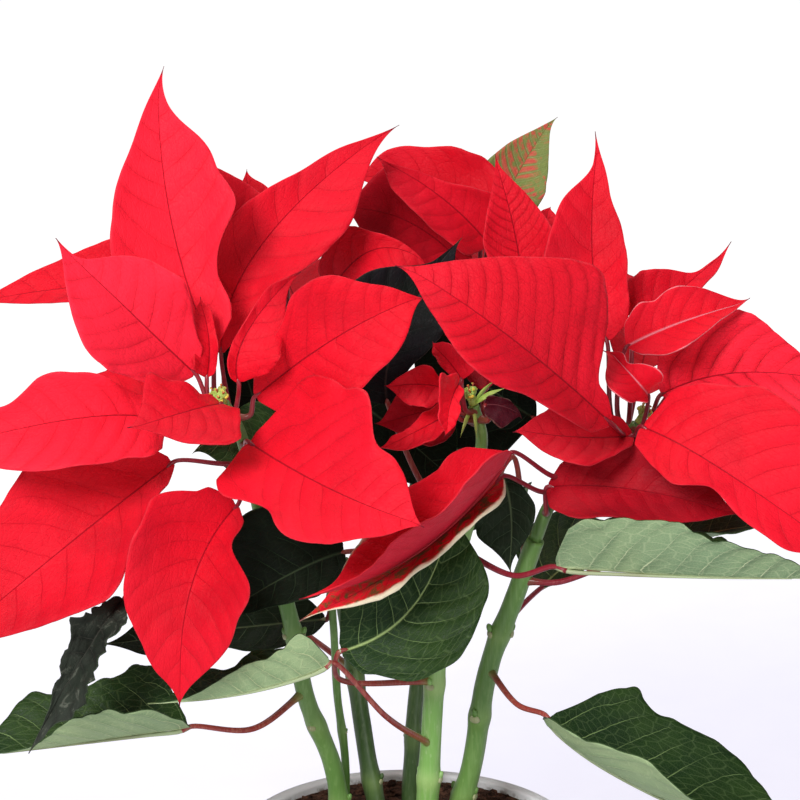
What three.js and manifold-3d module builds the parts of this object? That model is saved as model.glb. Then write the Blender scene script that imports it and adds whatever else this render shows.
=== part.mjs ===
// Potted poinsettia: five flowering stems and one young shoot in a plain round pot.
// Millimetres, +Z up. The origin is the centre of the pot's foot, on the surface it stands on.
// -Y is the plant's front and +X its right.
import * as THREE from "three";
import { mergeVertices } from "three/addons/utils/BufferGeometryUtils.js";
import Module from "manifold-3d";

const wasm = await Module();
wasm.setup();

// Driving dimensions
const clearance = 0.3; // between pieces that touch
const pot = {
  height: 120, rimRadius: 70, rimInner: 64.5, footRadius: 49,
  wall: 3.5, floor: 4, edge: 1.5, sides: 28,
};
const band = { height: 20, step: 2.5, chamfer: 1 };
const soilSize = { edgeHeight: 117, domeRise: 3, grain: 0.4, rings: 3, sideGap: 0.45 };

// Stems, the knobs left on them by old leaves, and the stalks of leaves and bracts.
const stemForm = { sides: 7, steps: 9 };
const scarForm = { reach: 0.75, size: 0.55, firstTurn: -1.2, turn: 2.2 };
const stalk = { leafRadius: 1.25, bractRadius: 1.06, taper: 0.8, sides: 4, steps: 4, run: 0.04 };
const crownForm = { footRadius: 2.8, topRadius: 2.2, sides: 6, steps: 5, end: 1.5 };
// How a bract's stalk leaves its crown: so far out, and by this share of its rise.
const branching = { out: 5.5, rise: 0.15 };

// Blades: `roundBase` and `drawnTip` shape the outline, `lobe` is the low corner at its widest,
// `cup` bends the halves up further out, and the edge rises and falls by `ruffle`.
const bladeForm = {
  thickness: 0.8, widest: 0.66, roundBase: 0.62, drawnTip: 0.95, neck: 0.08,
  lobe: 0.06, lobeAt: 0.42, lobeSpan: 0.07,
  cup: 14, ruffle: 1.2, waves: 2.5, offset: 1.4, leastReach: 0.5,
};
const bladeGrid = { along: 8, alongSmall: 5, across: 2, smallLength: 62, start: 0.012, end: 0.992 };

// The small green cups in the middle of a head.
const cupForm = {
  profile: [[0, -1.6], [1.6, 1.2], [1.2, 3.6], [0, 3.9]],
  sides: 5, lift: 1.9, lean: 0.5, turn: 2.4,
};
const clusterStalk = { rise: 2, sink: 2, footRadius: 1.7, topRadius: 1.9, sides: 6 };

const colours = {
  pot: 0xf0f0f2,
  soil: 0x3a2219,
  stem: 0x5f8a3a,
  bract: 0xd01528,
  leaf: 0x27452f,
  flower: 0xa9b83c,
};

// Stems: the route of each axis from inside the soil to where its head begins,
// the radius at the foot and at the top, and where along it the old leaf scars sit.
const stems = {
  stem_left: {
    route: [
      [-24, 2, 96], [-27, 0, 122], [-31, -4, 151], [-41, -12, 182], [-47, -20, 219],
      [-58, -24, 262],
    ],
    radius: [4, 3.2],
    scars: [0.22, 0.45, 0.7],
  },
  stem_back_left: {
    route: [
      [-9, 15, 96], [-12, 16, 119], [-16, 19, 140], [-21, 27, 171], [-27, 37, 209],
      [-37, 47, 258], [-42, 50, 290],
    ],
    radius: [4, 3],
    scars: [0.2, 0.42, 0.66],
  },
  stem_back: {
    route: [
      [3, 32, 96], [1, 36, 120], [2, 39, 140], [4, 44, 166], [10, 54, 203], [18, 62, 262],
      [25, 65, 300],
    ],
    radius: [3.6, 3],
    scars: [0.24, 0.5, 0.72],
  },
  stem_centre: {
    route: [
      [5, -5, 96], [7, -6, 120], [9, -8, 154], [11, -12, 191], [15, -16, 226], [24, -20, 262],
    ],
    radius: [5, 3.2],
    scars: [0.3, 0.56, 0.78],
  },
  stem_right: {
    route: [[15, 8, 96], [19, 6, 120], [26, 4, 145], [33, -2, 192], [45, -8, 230], [51, -11, 250]],
    radius: [4.6, 3.8],
    scars: [0.25, 0.48, 0.72],
  },
  shoot: {
    route: [
      [-26, 16, 96], [-26, 15, 122], [-26, 13, 146], [-29, 9, 176], [-30, 5, 199],
      [-31, 0, 222],
    ],
    radius: [1.9, 1.5],
    scars: [0.5],
  },
};

// Heads: the crown carries on from the stem named, and each bract's stalk leaves it at
// `from`, a share of the crown's length. base, mid and tip lie on the midrib, face is the
// way the upper side looks, and fold is how far each half is raised, in degrees.
const heads = {
  left: {
    stem: "stem_left",
    cups: 6,
    crown: [[-58, -24, 262], [-62, -26, 282], [-66, -29, 300], [-71, -38, 313]],
    bracts: [
      {
        from: 0.9, width: 58, fold: 10, face: [0.1, -1, 0.3],
        base: [-76, -30, 332], mid: [-93, -14, 385], tip: [-97, -2, 440],
        left: [0.99, 1.01, 0.96, 0.93, 0.94, 0.91, 1.08],
        right: [0.62, 0.49, 0.65, 1.03, 1.09, 1.29, 0.84],
      },
      {
        from: 0.85, width: 48, fold: 10, face: [0.1, -0.85, 0.5],
        base: [-82, -40, 326], mid: [-106, -56, 355], tip: [-133, -62, 384],
        left: [0.56, 0.83, 0.98, 1.24, 1.49, 1.61, 1.89],
        right: [0.56, 0.76, 0.86, 0.99, 1.13, 1.05, 0.3],
      },
      {
        from: 0.95, width: 20, fold: 15, face: [0.2, -1, 0.2],
        base: [-78, -38, 324], mid: [-77, -38, 340], tip: [-81, -34, 355],
        left: [0.83, 0.78, 0.72, 0.76, 0.93, 1.32, 1.9],
        right: [0.4, 0.36, 0.34, 0.36, 0.46, 0.72, 1.6],
      },
      {
        from: 0.9, width: 22, fold: 12, face: [0.1, -1, 0.2],
        base: [-65, -50, 325], mid: [-62, -48, 344], tip: [-42, -30, 365],
        left: [0.35, 0.38, 0.35, 0.34, 0.46, 0.88, 1.9],
        right: [1.51, 1.47, 1.45, 1.53, 1.69, 1.9, 1.9],
      },
      {
        from: 0.8, width: 60, fold: 12, face: [-0.1, -1, 0.3],
        base: [-74, -10, 326], mid: [-57, 10, 368], tip: [-4, 34, 411],
        left: [0.4, 0.38, 0.45, 0.6, 0.63, 0.66, 1.05],
        right: [0.36, 0.43, 0.55, 0.85, 1.17, 1.65, 1.9],
      },
      {
        from: 0.85, width: 58, fold: 10, face: [0.15, -1, 0.4],
        base: [-60, -34, 315], mid: [-26, -54, 345], tip: [6, -56, 361],
        left: [0.38, 0.49, 0.68, 0.93, 1.11, 1.04, 1.33],
        right: [0.62, 0.72, 0.78, 0.9, 1.01, 1.37, 1.9],
      },
      {
        from: 0.95, width: 44, fold: 10, face: [0.1, -0.7, 0.7],
        base: [-72, -46, 316], mid: [-83, -72, 320], tip: [-105, -84, 316],
        left: [0.52, 0.66, 0.9, 1.26, 1.37, 1.31, 1.11],
        right: [0.3, 0.31, 0.39, 0.62, 1.08, 1.9, 1.9],
      },
      {
        from: 0.75, width: 64, fold: 14, face: [-0.05, -0.9, 0.45],
        base: [-93, -42, 307], mid: [-125, -60, 314], tip: [-184, -72, 303],
        left: [0.58, 0.67, 0.65, 0.78, 0.99, 1.36, 1.9],
        right: [0.3, 0.3, 0.42, 0.61, 0.83, 0.75, 1.53],
      },
      {
        from: 0.45, width: 66, fold: 10, face: [-0.1, -0.9, 0.45],
        base: [-91, -36, 290], mid: [-134, -60, 261], tip: [-184, -78, 222],
        left: [0.3, 0.49, 0.73, 1.05, 1.09, 1.2, 1.38],
        right: [0.74, 0.85, 0.94, 1.02, 1.17, 1.61, 1.9],
      },
      {
        from: 0.4, width: 62, fold: 18, face: [-0.1, -1, 0.2],
        base: [-66, -48, 276], mid: [-83, -76, 251], tip: [-87, -82, 205],
        left: [0.35, 0.34, 0.67, 0.98, 1.13, 1.52, 1.9],
        right: [0.68, 0.99, 0.92, 1, 1.16, 1.24, 1.8],
      },
      {
        from: 0.6, width: 66, fold: 8, face: [-0.1, -0.85, 0.55],
        base: [-62, -50, 302], mid: [-28, -90, 294], tip: [6, -108, 286],
        left: [1.3, 1.19, 1.12, 1.22, 0.98, 1.39, 1.9],
        right: [0.97, 0.7, 0.64, 0.89, 0.96, 0.99, 1.27],
      },
      {
        from: 0.65, width: 40, fold: 14, face: [0, -0.2, 1],
        base: [-92, -10, 302], mid: [-122, 8, 304], tip: [-160, 22, 292],
      },
    ],
  },
  centre: {
    stem: "stem_centre",
    cups: 5,
    crown: [[24, -20, 262], [27, -21, 280], [29, -22, 296], [26, -24, 308]],
    bracts: [
      {
        from: 0.9, width: 20, fold: 20, face: [-0.2, -1, 0.3],
        base: [21, -22, 319], mid: [16, -20, 326], tip: [9, -15, 332],
        left: [0.32, 0.31, 0.39, 0.43, 0.5, 0.72, 1.4],
        right: [1.22, 0.89, 0.77, 0.76, 0.93, 1.32, 1.9],
      },
      {
        from: 0.95, width: 24, fold: 18, face: [0.1, -0.9, 0.4],
        base: [19, -28, 316], mid: [5, -36, 321], tip: [-9, -38, 320],
        left: [0.37, 0.57, 0.76, 1.04, 1.25, 1.71, 1.9],
        right: [0.3, 0.3, 0.48, 0.72, 0.78, 0.8, 1.16],
      },
      {
        from: 0.97, width: 16, fold: 26, face: [0.3, -1, 0.2],
        base: [20, -34, 321], mid: [16, -46, 315], tip: [15, -50, 304],
        left: [0.4, 0.46, 0.48, 0.61, 0.81, 1.2, 1.9],
        right: [1.12, 1.3, 1.81, 1.35, 1.08, 1.66, 1.9],
      },
      {
        from: 0.9, width: 22, fold: 16, face: [-0.2, -0.8, 0.6],
        base: [17, -30, 308], mid: [5, -36, 303], tip: [-11, -38, 295],
        left: [0.41, 0.62, 0.79, 0.99, 1.11, 1.42, 1.9],
        right: [0.64, 0.52, 0.44, 0.39, 0.39, 0.55, 1.27],
      },
      {
        from: 0.9, width: 20, fold: 20, face: [0, -0.9, 0.5],
        base: [30, -26, 310], mid: [37, -28, 310], tip: [45, -28, 306],
        left: [0.4, 0.36, 0.36, 0.38, 0.42, 0.5, 0.7],
        right: [0.77, 0.83, 0.96, 1.19, 1.58, 1.81, 1.9],
      },
      {
        from: 0.8, width: 24, fold: 14, face: [0, 0.3, 1],
        base: [30, -12, 312], mid: [36, 6, 322], tip: [38, 28, 322],
      },
      {
        from: 0.85, width: 30, fold: 10, face: [0, -1, 0.3],
        base: [19, -15, 307], mid: [3, -17, 304], tip: [-13, -17, 299],
      },
    ],
  },
  right: {
    stem: "stem_right",
    cups: 5,
    crown: [[51, -11, 250], [57, -13, 266], [68, -13, 279], [82, -13, 287], [90, -14, 298]],
    bracts: [
      {
        from: 0.95, width: 66, fold: 8, face: [0.1, -0.9, 0.45],
        base: [79, -44, 307], mid: [37, -78, 351], tip: [-4, -70, 377],
        left: [0.45, 0.47, 0.51, 0.71, 0.83, 0.88, 1.06],
        right: [0.3, 0.9, 1.14, 1.2, 1.17, 1.24, 1.38],
      },
      {
        from: 0.95, width: 66, fold: 8, face: [0.1, -0.85, 0.5],
        base: [91, -32, 303], mid: [122, -54, 291], tip: [171, -66, 258],
        left: [0.78, 0.82, 0.96, 1.18, 1.48, 1.9, 1.9],
        right: [0.45, 0.51, 0.56, 0.34, 0.59, 0.99, 1.9],
      },
      {
        from: 0.95, width: 76, fold: 26, face: [0, -0.8, 0.6],
        base: [100, -8, 309], mid: [137, 2, 316], tip: [185, 6, 307],
        left: [0.64, 0.67, 0.67, 0.68, 0.55, 0.44, 0.3],
        right: [1.15, 1.22, 1.29, 1.41, 1.72, 1.9, 1.9],
      },
      {
        from: 0.95, width: 28, fold: 20, face: [0.05, -0.8, 0.6],
        base: [86, -12, 330], mid: [108, -8, 339], tip: [136, -2, 346],
        left: [0.92, 1.01, 0.9, 1.12, 1.28, 1.55, 1.75],
        right: [0.87, 1.08, 1.14, 1.08, 1.02, 1.03, 1.25],
      },
      {
        from: 0.9, width: 26, fold: 18, face: [0.1, -0.7, 0.7],
        base: [90, 3, 335], mid: [105, 12, 344], tip: [131, 22, 364],
        left: [1.38, 1.32, 1.26, 1.21, 0.99, 0.3, 0.3],
        right: [0.69, 0.6, 0.63, 0.71, 0.83, 1.11, 1.9],
      },
      {
        from: 0.9, width: 44, fold: 10, face: [0.05, -1, 0.3],
        base: [79, -6, 330], mid: [73, 5, 365], tip: [76, 20, 410],
        left: [0.87, 0.9, 0.94, 1.03, 1.08, 1.15, 0.3],
        right: [0.67, 0.64, 0.61, 0.69, 0.78, 0.77, 1.11],
      },
      {
        from: 0.97, width: 30, fold: 28, face: [0.1, -1, 0.3],
        base: [94, -26, 314], mid: [88, -36, 323], tip: [77, -30, 334],
        left: [0.3, 0.38, 0.58, 0.9, 1.29, 1.77, 1.9],
        right: [0.47, 0.52, 0.64, 0.76, 0.62, 0.4, 1.4],
      },
      {
        from: 0.85, width: 44, fold: 12, face: [0, -0.8, 0.6],
        base: [89, -24, 297], mid: [64, -37, 300], tip: [41, -39, 304],
        left: [0.41, 0.5, 0.6, 0.78, 0.82, 0.85, 1],
        right: [0.52, 0.5, 0.62, 0.8, 0.95, 1, 1.4],
      },
      {
        from: 0.2, width: 40, fold: 16, face: [0, -0.75, 0.65],
        base: [55, -18, 274], mid: [91, -32, 277], tip: [131, -36, 267],
        left: [0.67, 0.89, 0.94, 0.92, 0.79, 0.96, 1.9],
        right: [1.03, 1.17, 1.06, 1.06, 1.22, 1.51, 1.9],
      },
      {
        from: 0.48, width: 54, fold: 42, face: [-0.2, -0.25, 1],
        base: [40, -34, 293], mid: [3, -62, 261], tip: [-42, -78, 248],
        left: [1.5, 1.3, 1, 1.1, 1.35, 1.1, 1],
        right: [0.9, 0.78, 0.78, 0.75, 0.8, 0.9, 0.5],
      },
      {
        from: 0.36, width: 44, fold: 8, face: [-0.1, -0.35, 1],
        base: [37, -33, 283], mid: [0, -62, 257], tip: [-42, -68, 236],
        left: [0.6, 0.45, 0.4, 0.5, 0.85, 0.8, 0.64],
        right: [0.96, 0.92, 0.92, 1.11, 1.5, 1.7, 1.7],
      },
      {
        from: 0.9, width: 42, fold: 14, face: [0.2, -0.1, 1],
        base: [112, 8, 316], mid: [134, 34, 319], tip: [154, 64, 304],
      },
      {
        from: 0.85, width: 38, fold: 14, face: [0.1, 0.2, 1],
        base: [94, 18, 312], mid: [98, 48, 320], tip: [94, 84, 312],
      },
    ],
  },
  back: {
    stem: "stem_back",
    cups: 5,
    crown: [[25, 65, 300], [28, 66, 314], [30, 67, 328]],
    bracts: [
      {
        from: 0.9, width: 46, fold: 12, face: [0, -0.9, 0.45],
        base: [34, 56, 356], mid: [13, 50, 378], tip: [-13, 48, 394],
        left: [0.72, 0.66, 0.65, 0.71, 0.84, 1.15, 1.9],
        right: [0.95, 0.73, 0.48, 0.33, 0.3, 0.3, 0.3],
      },
      {
        from: 0.9, width: 44, fold: 12, face: [0, -0.9, 0.45],
        base: [30, 78, 362], mid: [10, 84, 379], tip: [-23, 82, 378],
        left: [0.9, 0.85, 0.85, 0.96, 1.21, 1.7, 1.9],
        right: [0.99, 0.92, 0.72, 0.69, 0.78, 1.2, 1.9],
      },
      {
        from: 0.8, width: 30, fold: 10, face: [0.1, -1, 0.3],
        base: [47, 42, 342], mid: [43, 46, 367], tip: [35, 56, 394],
      },
      {
        from: 0.9, width: 30, fold: 10, face: [0, -0.95, 0.3],
        base: [34, 86, 352], mid: [47, 96, 379], tip: [63, 108, 401],
      },
      {
        from: 0.85, width: 24, fold: 10, face: [0.2, -0.95, 0.3],
        base: [50, 66, 345], mid: [56, 70, 359], tip: [59, 78, 368],
        left: [0.64, 0.7, 0.6, 0.63, 0.66, 0.8, 1.16],
        right: [1.28, 0.96, 0.76, 0.63, 0.66, 0.8, 1.46],
      },
      {
        from: 0.85, width: 38, fold: 12, face: [0.1, 0, 1],
        base: [54, 74, 326], mid: [88, 82, 330], tip: [128, 88, 318],
      },
      {
        from: 0.8, width: 42, fold: 12, face: [0.1, 0.2, 1],
        base: [38, 94, 328], mid: [46, 128, 332], tip: [56, 166, 316],
      },
      {
        from: 0.75, width: 40, fold: 12, face: [-0.1, 0.2, 1],
        base: [16, 90, 330], mid: [-4, 120, 338], tip: [-22, 156, 326],
      },
      {
        from: 0.7, width: 50, fold: 8, face: [0.1, -1, 0.2],
        base: [27, 70, 340], mid: [1, 64, 364], tip: [-28, 58, 371],
        left: [0.82, 0.77, 0.75, 0.8, 0.95, 1.3, 1.9],
        right: [0.3, 0.3, 0.3, 0.37, 0.77, 1.88, 1.9],
      },
    ],
  },
  back_left: {
    stem: "stem_back_left",
    cups: 5,
    crown: [[-42, 50, 290], [-44, 51, 304], [-45, 52, 316]],
    bracts: [
      {
        from: 0.85, width: 36, fold: 14, face: [0, -0.6, 0.8],
        base: [-77, 20, 346], mid: [-125, 8, 350], tip: [-178, -2, 344],
      },
      {
        from: 0.9, width: 40, fold: 10, face: [0.1, -0.95, 0.3],
        base: [-60, 46, 342], mid: [-75, 50, 370], tip: [-92, 56, 398],
      },
      {
        from: 0.9, width: 36, fold: 10, face: [0, -0.95, 0.3],
        base: [-50, 58, 338], mid: [-60, 62, 362], tip: [-68, 70, 385],
        left: [0.43, 0.43, 0.46, 0.51, 0.56, 0.8, 1.36],
        right: [0.39, 0.46, 0.54, 0.66, 0.92, 1.2, 1.75],
      },
      {
        from: 0.9, width: 44, fold: 10, face: [0, -0.9, 0.45],
        base: [-32, 38, 340], mid: [-13, 26, 361], tip: [9, 22, 355],
        left: [0.58, 0.57, 0.61, 0.39, 0.3, 0.3, 0.3],
        right: [0.35, 0.38, 0.44, 0.54, 0.68, 0.93, 1.75],
      },
      {
        from: 0.8, width: 46, fold: 12, face: [-0.1, 0, 1],
        base: [-74, 72, 324], mid: [-110, 88, 336], tip: [-152, 98, 326],
      },
      {
        from: 0.8, width: 40, fold: 12, face: [0, 0.2, 1],
        base: [-46, 88, 320], mid: [-54, 122, 328], tip: [-60, 160, 316],
      },
    ],
  },
};

// Green leaves: `stem` carries the leaf at `joint`, and its stalk passes `via`.
const leaves = [
  {
    stem: "stem_centre", joint: [21, -18.5, 248], via: [42, -36, 243],
    base: [57, -46, 250], mid: [109, -60, 251], tip: [166, -58, 249],
    width: 48, fold: 36, face: [0, 0.5, 1],
    left: [1.5, 1.4, 1.27, 1.29, 1.49, 1.8, 1.8],
    right: [1.25, 1.11, 1, 0.97, 1.05, 1.25, 1.8],
  },
  {
    stem: "stem_right", joint: [46, -8.5, 232], via: [60, -14, 233],
    base: [77, -18, 240], mid: [117, -14, 253], tip: [160, -8, 256],
    width: 46, fold: 14, face: [0, -0.1, 1],
  },
  {
    stem: "stem_right", joint: [33, -2, 192], via: [44, -28, 186],
    base: [55, -44, 187], mid: [96, -60, 161], tip: [176, -72, 133],
    width: 64, fold: 26, face: [0.3, -0.2, 1],
    left: [1.1, 1.15, 1, 1.1, 1.4, 1.9, 1.9],
    right: [1.7, 1.62, 1.58, 1.82, 2.15, 2.2, 1.95],
  },
  {
    stem: "stem_centre", joint: [11, -12, 190], via: [-28, -48, 205],
    base: [-27, -52, 217], mid: [3, -46, 235], tip: [17, -32, 272],
    width: 60, fold: 8, face: [0, -0.95, 0.3],
    left: [0.83, 0.73, 0.67, 0.7, 0.79, 0.84, 0.84],
    right: [0.56, 0.8, 0.88, 0.99, 1.19, 1.65, 1.9],
  },
  {
    stem: "stem_centre", joint: [9, -9, 162], via: [-9, -46, 188],
    base: [-30, -58, 215], mid: [-61, -66, 206], tip: [-101, -70, 202],
    width: 46, fold: 40, face: [0, 0.4, 1],
    left: [1, 0.7, 0.61, 0.59, 0.56, 0.58, 0.3],
    right: [1, 0.77, 0.71, 0.75, 0.9, 1.62, 1.9],
  },
  {
    stem: "stem_left", joint: [-42, -13, 186], via: [-62, -34, 178],
    base: [-86, -50, 185], mid: [-124, -60, 183], tip: [-176, -62, 176],
    width: 70, fold: 34, face: [0, -0.1, 1],
    left: [0.46, 0.7, 0.84, 0.88, 0.76, 0.34, 0.34],
    right: [1.03, 0.88, 0.66, 0.71, 0.92, 1.55, 1.9],
  },
  {
    stem: "stem_left", joint: [-55, -23, 250], via: [-80, -34, 252],
    base: [-110, -62, 242], mid: [-123, -84, 228], tip: [-144, -100, 193],
    width: 36, fold: 30, face: [-0.25, -1, 0.2],
    left: [0.46, 0.67, 0.59, 0.6, 1, 1.54, 1.9],
    right: [0.3, 0.46, 0.64, 0.63, 0.52, 0.4, 0.3],
  },
  {
    stem: "stem_centre", joint: [20, -18, 246], via: [-4, -26, 250],
    base: [-25, -24, 249], mid: [-46, -36, 244], tip: [-76, -46, 228],
    width: 60, fold: 10, face: [0, -0.9, 0.4],
    left: [0.36, 0.4, 0.45, 0.49, 0.53, 0.6, 0.93],
    right: [0.8, 0.72, 0.8, 1.08, 1.43, 1.85, 1.9],
  },
  {
    stem: "shoot", joint: [-31, 0, 221], via: [-31, 4, 227],
    base: [-33, 8, 210], mid: [-76, 0, 208], tip: [-124, -8, 204],
    width: 46, fold: 10, face: [0, -0.7, 0.7],
    left: [0.5, 0.66, 0.62, 0.5, 0.65, 1.05, 1.7],
    right: [0.56, 0.5, 0.5, 0.64, 0.9, 1.5, 1.7],
  },
  {
    stem: "stem_left", joint: [-56, -23.4, 254], via: [-54, -14, 262],
    base: [-55, -8, 277], mid: [-66, -6, 291], tip: [-87, -4, 285],
    width: 50, fold: 8, face: [0, -1, 0.2],
    left: [0.77, 0.65, 0.62, 0.69, 0.89, 1.2, 1.7],
    right: [0.4, 0.5, 0.67, 0.7, 0.5, 0.4, 0.4],
  },
  {
    stem: "stem_right", joint: [47.4, -9.2, 238], via: [42, -9, 284],
    base: [37, -15, 279], mid: [41, -20, 263], tip: [40, -21, 239],
    width: 30, fold: 0, face: [-0.1, -1, 0.15],
    left: [0.34, 0.49, 0.61, 0.72, 0.76, 0.8, 0.7],
    right: [0.68, 0.8, 0.9, 1.1, 1.38, 1.9, 1.9],
  },
  {
    stem: "stem_centre", joint: [22, -19, 254], via: [5, -6, 273],
    base: [-8, -6, 305], mid: [-4, 4, 331], tip: [21, 18, 368],
    width: 58, fold: 8, face: [0, -1, 0.2],
    left: [0.51, 0.52, 0.62, 0.9, 1.29, 1.37, 0.6],
    right: [0.3, 0.3, 0.38, 0.56, 0.84, 1.12, 1.9],
  },
  {
    stem: "stem_back_left", joint: [-30, 40, 224], via: [-42, 27, 268],
    base: [-58, 14, 287], mid: [-64, 12, 308], tip: [-70, 14, 330],
    width: 46, fold: 6, face: [0, -1, 0.15],
    left: [0.5, 0.5, 0.48, 0.54, 0.65, 0.89, 1.82],
    right: [0.31, 0.41, 0.4, 0.47, 0.59, 0.89, 1.9],
  },
  {
    stem: "stem_back", joint: [11, 55, 210], via: [14, 74, 218],
    base: [20, 88, 220], mid: [30, 124, 222], tip: [44, 162, 200],
    width: 58, fold: 14, face: [0.1, 0.2, 1],
  },
  {
    stem: "stem_back", joint: [17, 61, 250], via: [34, 52, 272],
    base: [53, 40, 286], mid: [28, 35, 305], tip: [1, 32, 329],
    width: 60, fold: 6, face: [0, -1, 0.2],
    left: [0.9, 0.96, 0.94, 0.86, 0.96, 1.3, 1.9],
    right: [0.32, 0.4, 0.42, 0.51, 0.62, 0.96, 1.9],
  },
  {
    stem: "stem_right", joint: [33, -2, 196], via: [44, 24, 206],
    base: [56, 42, 212], mid: [86, 72, 220], tip: [120, 98, 206],
    width: 56, fold: 14, face: [0.1, 0.1, 1],
  },
  {
    stem: "stem_back_left", joint: [-22, 29, 180], via: [-40, 46, 188],
    base: [-52, 60, 192], mid: [-80, 84, 194], tip: [-110, 112, 174],
    width: 56, fold: 14, face: [-0.1, 0.1, 1],
  },
  {
    stem: "stem_back_left", joint: [-37, 47, 258], via: [-28, 44, 280],
    base: [-20, 34, 295], mid: [0, 26, 281], tip: [20, 14, 266],
    width: 50, fold: 6, face: [0, -1, 0.3],
    left: [0.51, 0.56, 0.6, 0.76, 0.97, 1.54, 1.9],
    right: [0.44, 0.5, 0.56, 0.67, 0.86, 1.25, 1.9],
  },
];

const toVector = ([x, y, z]) => new THREE.Vector3(x, y, z);
const mix = (a, b, share) => a + (b - a) * share;
const smooth = (route) => new THREE.CatmullRomCurve3(route.map(toVector), false, "centripetal");

// A closed three.js geometry as a solid that can be joined and cut.
function solidOf(geometry) {
  const bare = geometry.index ? geometry.clone() : mergeVertices(geometry);
  bare.deleteAttribute("normal");
  bare.deleteAttribute("uv");
  const merged = mergeVertices(bare, 1e-4);
  const vertProperties = new Float32Array(merged.attributes.position.array);
  const triVerts = new Uint32Array(merged.index.array);
  return new wasm.Manifold(new wasm.Mesh({ numProp: 3, vertProperties, triVerts }));
}

function geometryOf(solid) {
  const { vertProperties, triVerts } = solid.getMesh();
  const geometry = new THREE.BufferGeometry();
  geometry.setAttribute("position", new THREE.BufferAttribute(new Float32Array(vertProperties), 3));
  geometry.setIndex(new THREE.BufferAttribute(new Uint32Array(triVerts), 1));
  return geometry;
}

function join(solids) {
  return solids.reduce((whole, piece) => whole.add(piece));
}

// A cylinder bent along a smooth route, with a radius that changes evenly from foot to top.
function limb(route, footRadius, topRadius, sides, steps, overrun = 0) {
  const curve = smooth(route);
  const { normals, binormals } = curve.computeFrenetFrames(steps, false);
  const geometry = new THREE.CylinderGeometry(1, 1, 1, sides, steps);
  const position = geometry.attributes.position;
  for (let i = 0; i < position.count; i += 1) {
    const step = Math.round((position.getY(i) + 0.5) * steps);
    const radius = mix(footRadius, topRadius, step / steps);
    const point = curve.getPointAt(step / steps);
    if (step === 0) point.addScaledVector(curve.getTangentAt(0), -overrun);
    if (step === steps) point.addScaledVector(curve.getTangentAt(1), overrun);
    point.addScaledVector(normals[step], position.getX(i) * radius);
    point.addScaledVector(binormals[step], -position.getZ(i) * radius);
    position.setXYZ(i, point.x, point.y, point.z);
  }
  return solidOf(geometry);
}

// Half the blade's width at a share of its length, as a share of its greatest half width:
// round at the base, widest before the middle, drawn out to a long point.
function outlineAt(along) {
  const { widest, roundBase, drawnTip, neck, lobe, lobeAt, lobeSpan } = bladeForm;
  const oval = Math.sin(Math.PI * along ** widest) ** (roundBase + drawnTip * along);
  const narrowing = Math.min(1, along / neck) ** 0.5;
  return oval * narrowing + lobe * Math.exp(-(((along - lobeAt) / lobeSpan) ** 2));
}

// How much wider or narrower than the plain outline one side is, from its values at even
// stations between the base and the tip.
function trimAt(trims, along) {
  if (!trims) return 1;
  const place = THREE.MathUtils.clamp(along * (trims.length + 1) - 1, 0, trims.length - 1);
  const station = Math.min(Math.floor(place), trims.length - 2);
  return mix(trims[station], trims[station + 1], place - station);
}

// The middle surface of a leaf or bract. `across` runs from -1 at one edge to 1 at the other.
function bladeSurface({ width, fold, left, right, ...blade }) {
  const { cup, ruffle, waves, offset, leastReach } = bladeForm;
  const [base, mid, tip] = [blade.base, blade.mid, blade.tip].map(toVector);
  const control = mid.clone().multiplyScalar(2).addScaledVector(base.clone().add(tip), -0.5);
  const midrib = new THREE.QuadraticBezierCurve3(base, control, tip);
  const face = toVector(blade.face);
  return (along, across) => {
    const tangent = midrib.getTangent(along);
    const up = face.clone().addScaledVector(tangent, -face.dot(tangent)).normalize();
    const side = tangent.clone().cross(up);
    const share = outlineAt(along);
    const away = Math.abs(across);
    const half = (width / 2) * share * trimAt(across < 0 ? left : right, along);
    const reach = away * Math.max(half, leastReach);
    const lift = THREE.MathUtils.degToRad(fold + cup * away * share);
    const turn = 2 * Math.PI * waves * along + offset * Math.sign(across);
    const wave = ruffle * share * across ** 2 * Math.sin(turn);
    return midrib.getPoint(along)
      .addScaledVector(side, Math.sign(across) * reach * Math.cos(lift))
      .addScaledVector(up, reach * Math.sin(lift) + wave);
  };
}

// The rim of a grid, once round, as pairs of neighbouring corners.
function rimEdges(rows, columns) {
  const corner = (row, column) => row + (rows + 1) * column;
  const loop = [];
  for (let row = 0; row < rows; row += 1) loop.push(corner(row, columns));
  for (let column = columns; column > 0; column -= 1) loop.push(corner(rows, column));
  for (let row = rows; row > 0; row -= 1) loop.push(corner(row, 0));
  for (let column = 0; column < columns; column += 1) loop.push(corner(0, column));
  return loop.map((start, i) => [start, loop[(i + 1) % loop.length]]);
}

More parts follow.
